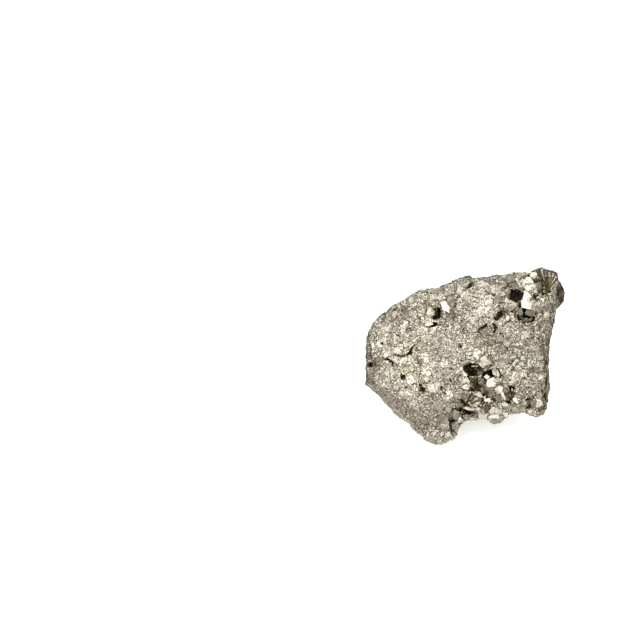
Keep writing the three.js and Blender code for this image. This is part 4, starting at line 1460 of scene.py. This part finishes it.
def growth_group():
    """Fine growth lines along the crystal faces, as a height."""
    inputs = [("Line Gap", "NodeSocketFloat")]
    outputs = [("Height", "NodeSocketFloat"), ("Grooves", "NodeSocketFloat")]
    tree, given, result = new_group("Growth Lines", "ShaderNodeTree", inputs, outputs)
    place = put_node(tree, "ShaderNodeUVMap", uv_map=GROWTH_MAP).outputs[0]
    along = put_node(tree, "ShaderNodeSeparateXYZ", {0: place}).outputs
    across = math_node(tree, "DIVIDE", along["Y"], given["Line Gap"])
    drift = times(tree, along["X"], LINE_DRIFT)
    line = put_node(tree, "ShaderNodeCombineXYZ", {"X": drift, "Y": across}).outputs[0]
    height = patches_node(tree, line, 1.0)[0]
    tree.links.new(height, result["Height"])
    tree.links.new(ramp(tree, height, 0.5, 0.4), result["Grooves"])
    return tree


def pyrite_material(name, facet_size, tilt, roughness, pits, lines=None):
    """Metal with small facets, or with growth lines where the piece has a growth map."""
    material = bpy.data.materials.new(name)
    material.use_nodes = True
    tree = material.node_tree
    shader = tree.nodes["Principled BSDF"]

    def read(name):
        return put_node(tree, "ShaderNodeAttribute", attribute_name=name).outputs["Fac"]

    brown = read("brown")
    sockets = {"Tone": read("tone"), "Hollow Shade": read("hollow"), "Brown": brown, "Pits": pits}
    sockets.update({"Least Roughness": roughness[0], "Greatest Roughness": roughness[1]})
    finish = put_node(tree, "ShaderNodeGroup", sockets, node_tree=FINISH).outputs
    even = read("even")
    sockets = {"Facet Size": facet_size}
    sockets["Tilt"] = math_node(tree, "MULTIPLY_ADD", even, -EVEN_CALM * tilt, tilt)
    normal = put_node(tree, "ShaderNodeGroup", sockets, node_tree=FACETS).outputs["Normal"]
    color = finish["Color"]
    if lines:
        growth = put_node(tree, "ShaderNodeGroup", {"Line Gap": lines}, node_tree=GROWTH).outputs
        sockets = {"Height": growth["Height"], "Normal": normal}
        sockets.update({"Strength": LINE_STRENGTH, "Distance": LINE_HEIGHT})
        normal = put_node(tree, "ShaderNodeBump", sockets).outputs[0]
        grooved = math_node(tree, "MULTIPLY_ADD", brown, GROOVE_BROWN, GROOVE_SHARE)
        color = mix_colors(tree, times(tree, growth["Grooves"], grooved), color, OLIVE)
    tree.links.new(color, shader.inputs["Base Color"])
    rough = math_node(tree, "MULTIPLY_ADD", even, EVEN_ROUGHNESS, finish["Roughness"])
    tree.links.new(rough, shader.inputs["Roughness"])
    tree.links.new(finish["Metal"], shader.inputs["Metallic"])
    tree.links.new(normal, shader.inputs["Normal"])
    return material


# The camera, the floor and the lights.
def make_camera():
    """The camera looks straight at the broad face, which lies off the middle of the picture."""
    data = bpy.data.cameras.new("camera")
    data.lens = LENS
    data.sensor_width = SENSOR
    camera = new_object("camera", data)
    away = FACE_RIGHT * EYE_RIGHT + FACE_UP * EYE_UP + FACE_OUT * EYE_OUT
    camera.location = FACE_MIDDLE + away * MM
    camera.rotation_euler = (-FACE_OUT).to_track_quat("-Z", "Y").to_euler()
    data.clip_start = 0.01
    data.clip_end = 20
    bpy.context.scene.camera = camera


def make_floor():
    """A level floor that curves up into a wall all round, far outside the lights."""
    bends = [math.radians(90 * n / COVE_STEPS) for n in range(COVE_STEPS + 1)]
    profile = [(FLOOR_START, 0), (1, 0)]
    profile += [(FLOOR_REACH + COVE * math.sin(a), COVE * (1 - math.cos(a))) for a in bends]
    profile.append((FLOOR_REACH + COVE, WALL_TOP))
    shape = bmesh.new()
    ways = [math.tau * n / FLOOR_SIDES for n in range(FLOOR_SIDES)]
    rings = [[shape.verts.new((r * math.cos(a), r * math.sin(a), z)) for a in ways] for r, z in profile]
    shape.faces.new(rings[0])
    for inner, outer in zip(rings, rings[1:]):
        for n in range(FLOOR_SIDES):
            shape.faces.new((inner[n - 1], outer[n - 1], outer[n], inner[n])).smooth = True
    floor = new_object("floor", mesh_from("floor", shape))
    material = bpy.data.materials.new("pale floor")
    material.use_nodes = True
    shader = material.node_tree.nodes["Principled BSDF"]
    shader.inputs["Base Color"].default_value = FLOOR_WHITE
    shader.inputs["Roughness"].default_value = 0.8
    shader.inputs["Emission Color"].default_value = (1, 1, 1, 1)
    shader.inputs["Emission Strength"].default_value = FLOOR_GLOW
    floor.data.materials.append(material)
    floor.visible_glossy = False
    floor.visible_shadow = False


def area_light(name, position, size, power):
    data = bpy.data.lights.new(name, "AREA")
    data.shape = "RECTANGLE"
    data.size, data.size_y = size
    data.energy = power
    light = new_object(name, data)
    light.location = position
    light.rotation_euler = (LIGHT_AIM - Vector(position)).to_track_quat("-Z", "Y").to_euler()


def around(azimuth, elevation, distance):
    """A place round the chunk: azimuth 0 is the viewer's side, and grows to the right."""
    azimuth, elevation = math.radians(azimuth), math.radians(elevation)
    flat = distance * math.cos(elevation)
    return (flat * math.sin(azimuth), -flat * math.cos(azimuth), distance * math.sin(elevation))


def make_lights():
    """The softboxes, and the room that the metal mirrors."""
    for name, place, size, radiance in SOFTBOXES:
        area_light(name, around(*place), size, radiance * math.pi * size[0] * size[1])
    world = bpy.data.worlds.new("world")
    world.use_nodes = True
    tree = world.node_tree
    background = tree.nodes["Background"]
    background.inputs["Color"].default_value = WORLD_COLOR
    direction = put_node(tree, "ShaderNodeTexCoord").outputs["Generated"]
    height = put_node(tree, "ShaderNodeSeparateXYZ", {0: direction}).outputs["Z"]
    sockets = {0: direction, 1: tuple(FACE_OUT)}
    toward = put_node(tree, "ShaderNodeVectorMath", sockets, operation="DOT_PRODUCT").outputs["Value"]
    even = math_node(tree, "ADD", ramp(tree, toward, *WORLD_FRONT), ramp(tree, height, *WORLD_BELOW))
    patches = ramp(tree, patches_node(tree, direction, WORLD_PATCHES)[0], 0.4, 0.6, *WORLD_UNEVEN)
    tree.links.new(times(tree, even, patches), background.inputs["Strength"])
    bpy.context.scene.world = world
    bpy.context.scene.view_settings.view_transform = "Standard"


make_camera()
make_floor()
make_lights()

FACETS = facet_group()
FINISH = finish_group()
GROWTH = growth_group()
skin_metal = pyrite_material("crumbled pyrite", **CRUMBLED)
grain_metal = pyrite_material("sugary pyrite", **SUGARY)
crystal_metal = pyrite_material("crystal pyrite", **CRYSTAL)

solid = merged_solid()
crystals = crystal_faces(solid)
crisp = [faces for faces in crystals if not is_stood_for(faces)]
make_crystals(crisp, crystal_metal)
make_blades(crystal_metal)
skin = make_skin(crystals, crisp, skin_metal)

chips = random.Random(CHIP_SEED)
grain_forms = [cube_corners(), cube_corners(0.3)] + [chip_corners(chips, n) for n in (7, 8, 9, 10)]
pebble_forms = [cube_corners(), pyritohedron_corners()] + [chip_corners(chips, n) for n in (8, 9, 11)]
grain_tree = strewing_tree("strewn grains", form_collection("grain", grain_forms))
pebble_tree = strewing_tree("strewn pebbles", form_collection("pebble", pebble_forms))

for seed, side in enumerate(SIDES, STREWING_SEED):
    values = {**PEBBLES, "Cover": "pebbles", "Seed": seed}
    strew(f"pebbles_{side}", skin[side], pebble_tree, values, crystal_metal)
    values = {**GRAINS, "Cover": "grains", "Seed": seed}
    strew(f"grains_{side}", skin[side], grain_tree, values, grain_metal)
for part in skin.values():
    drop_attributes(part.data)
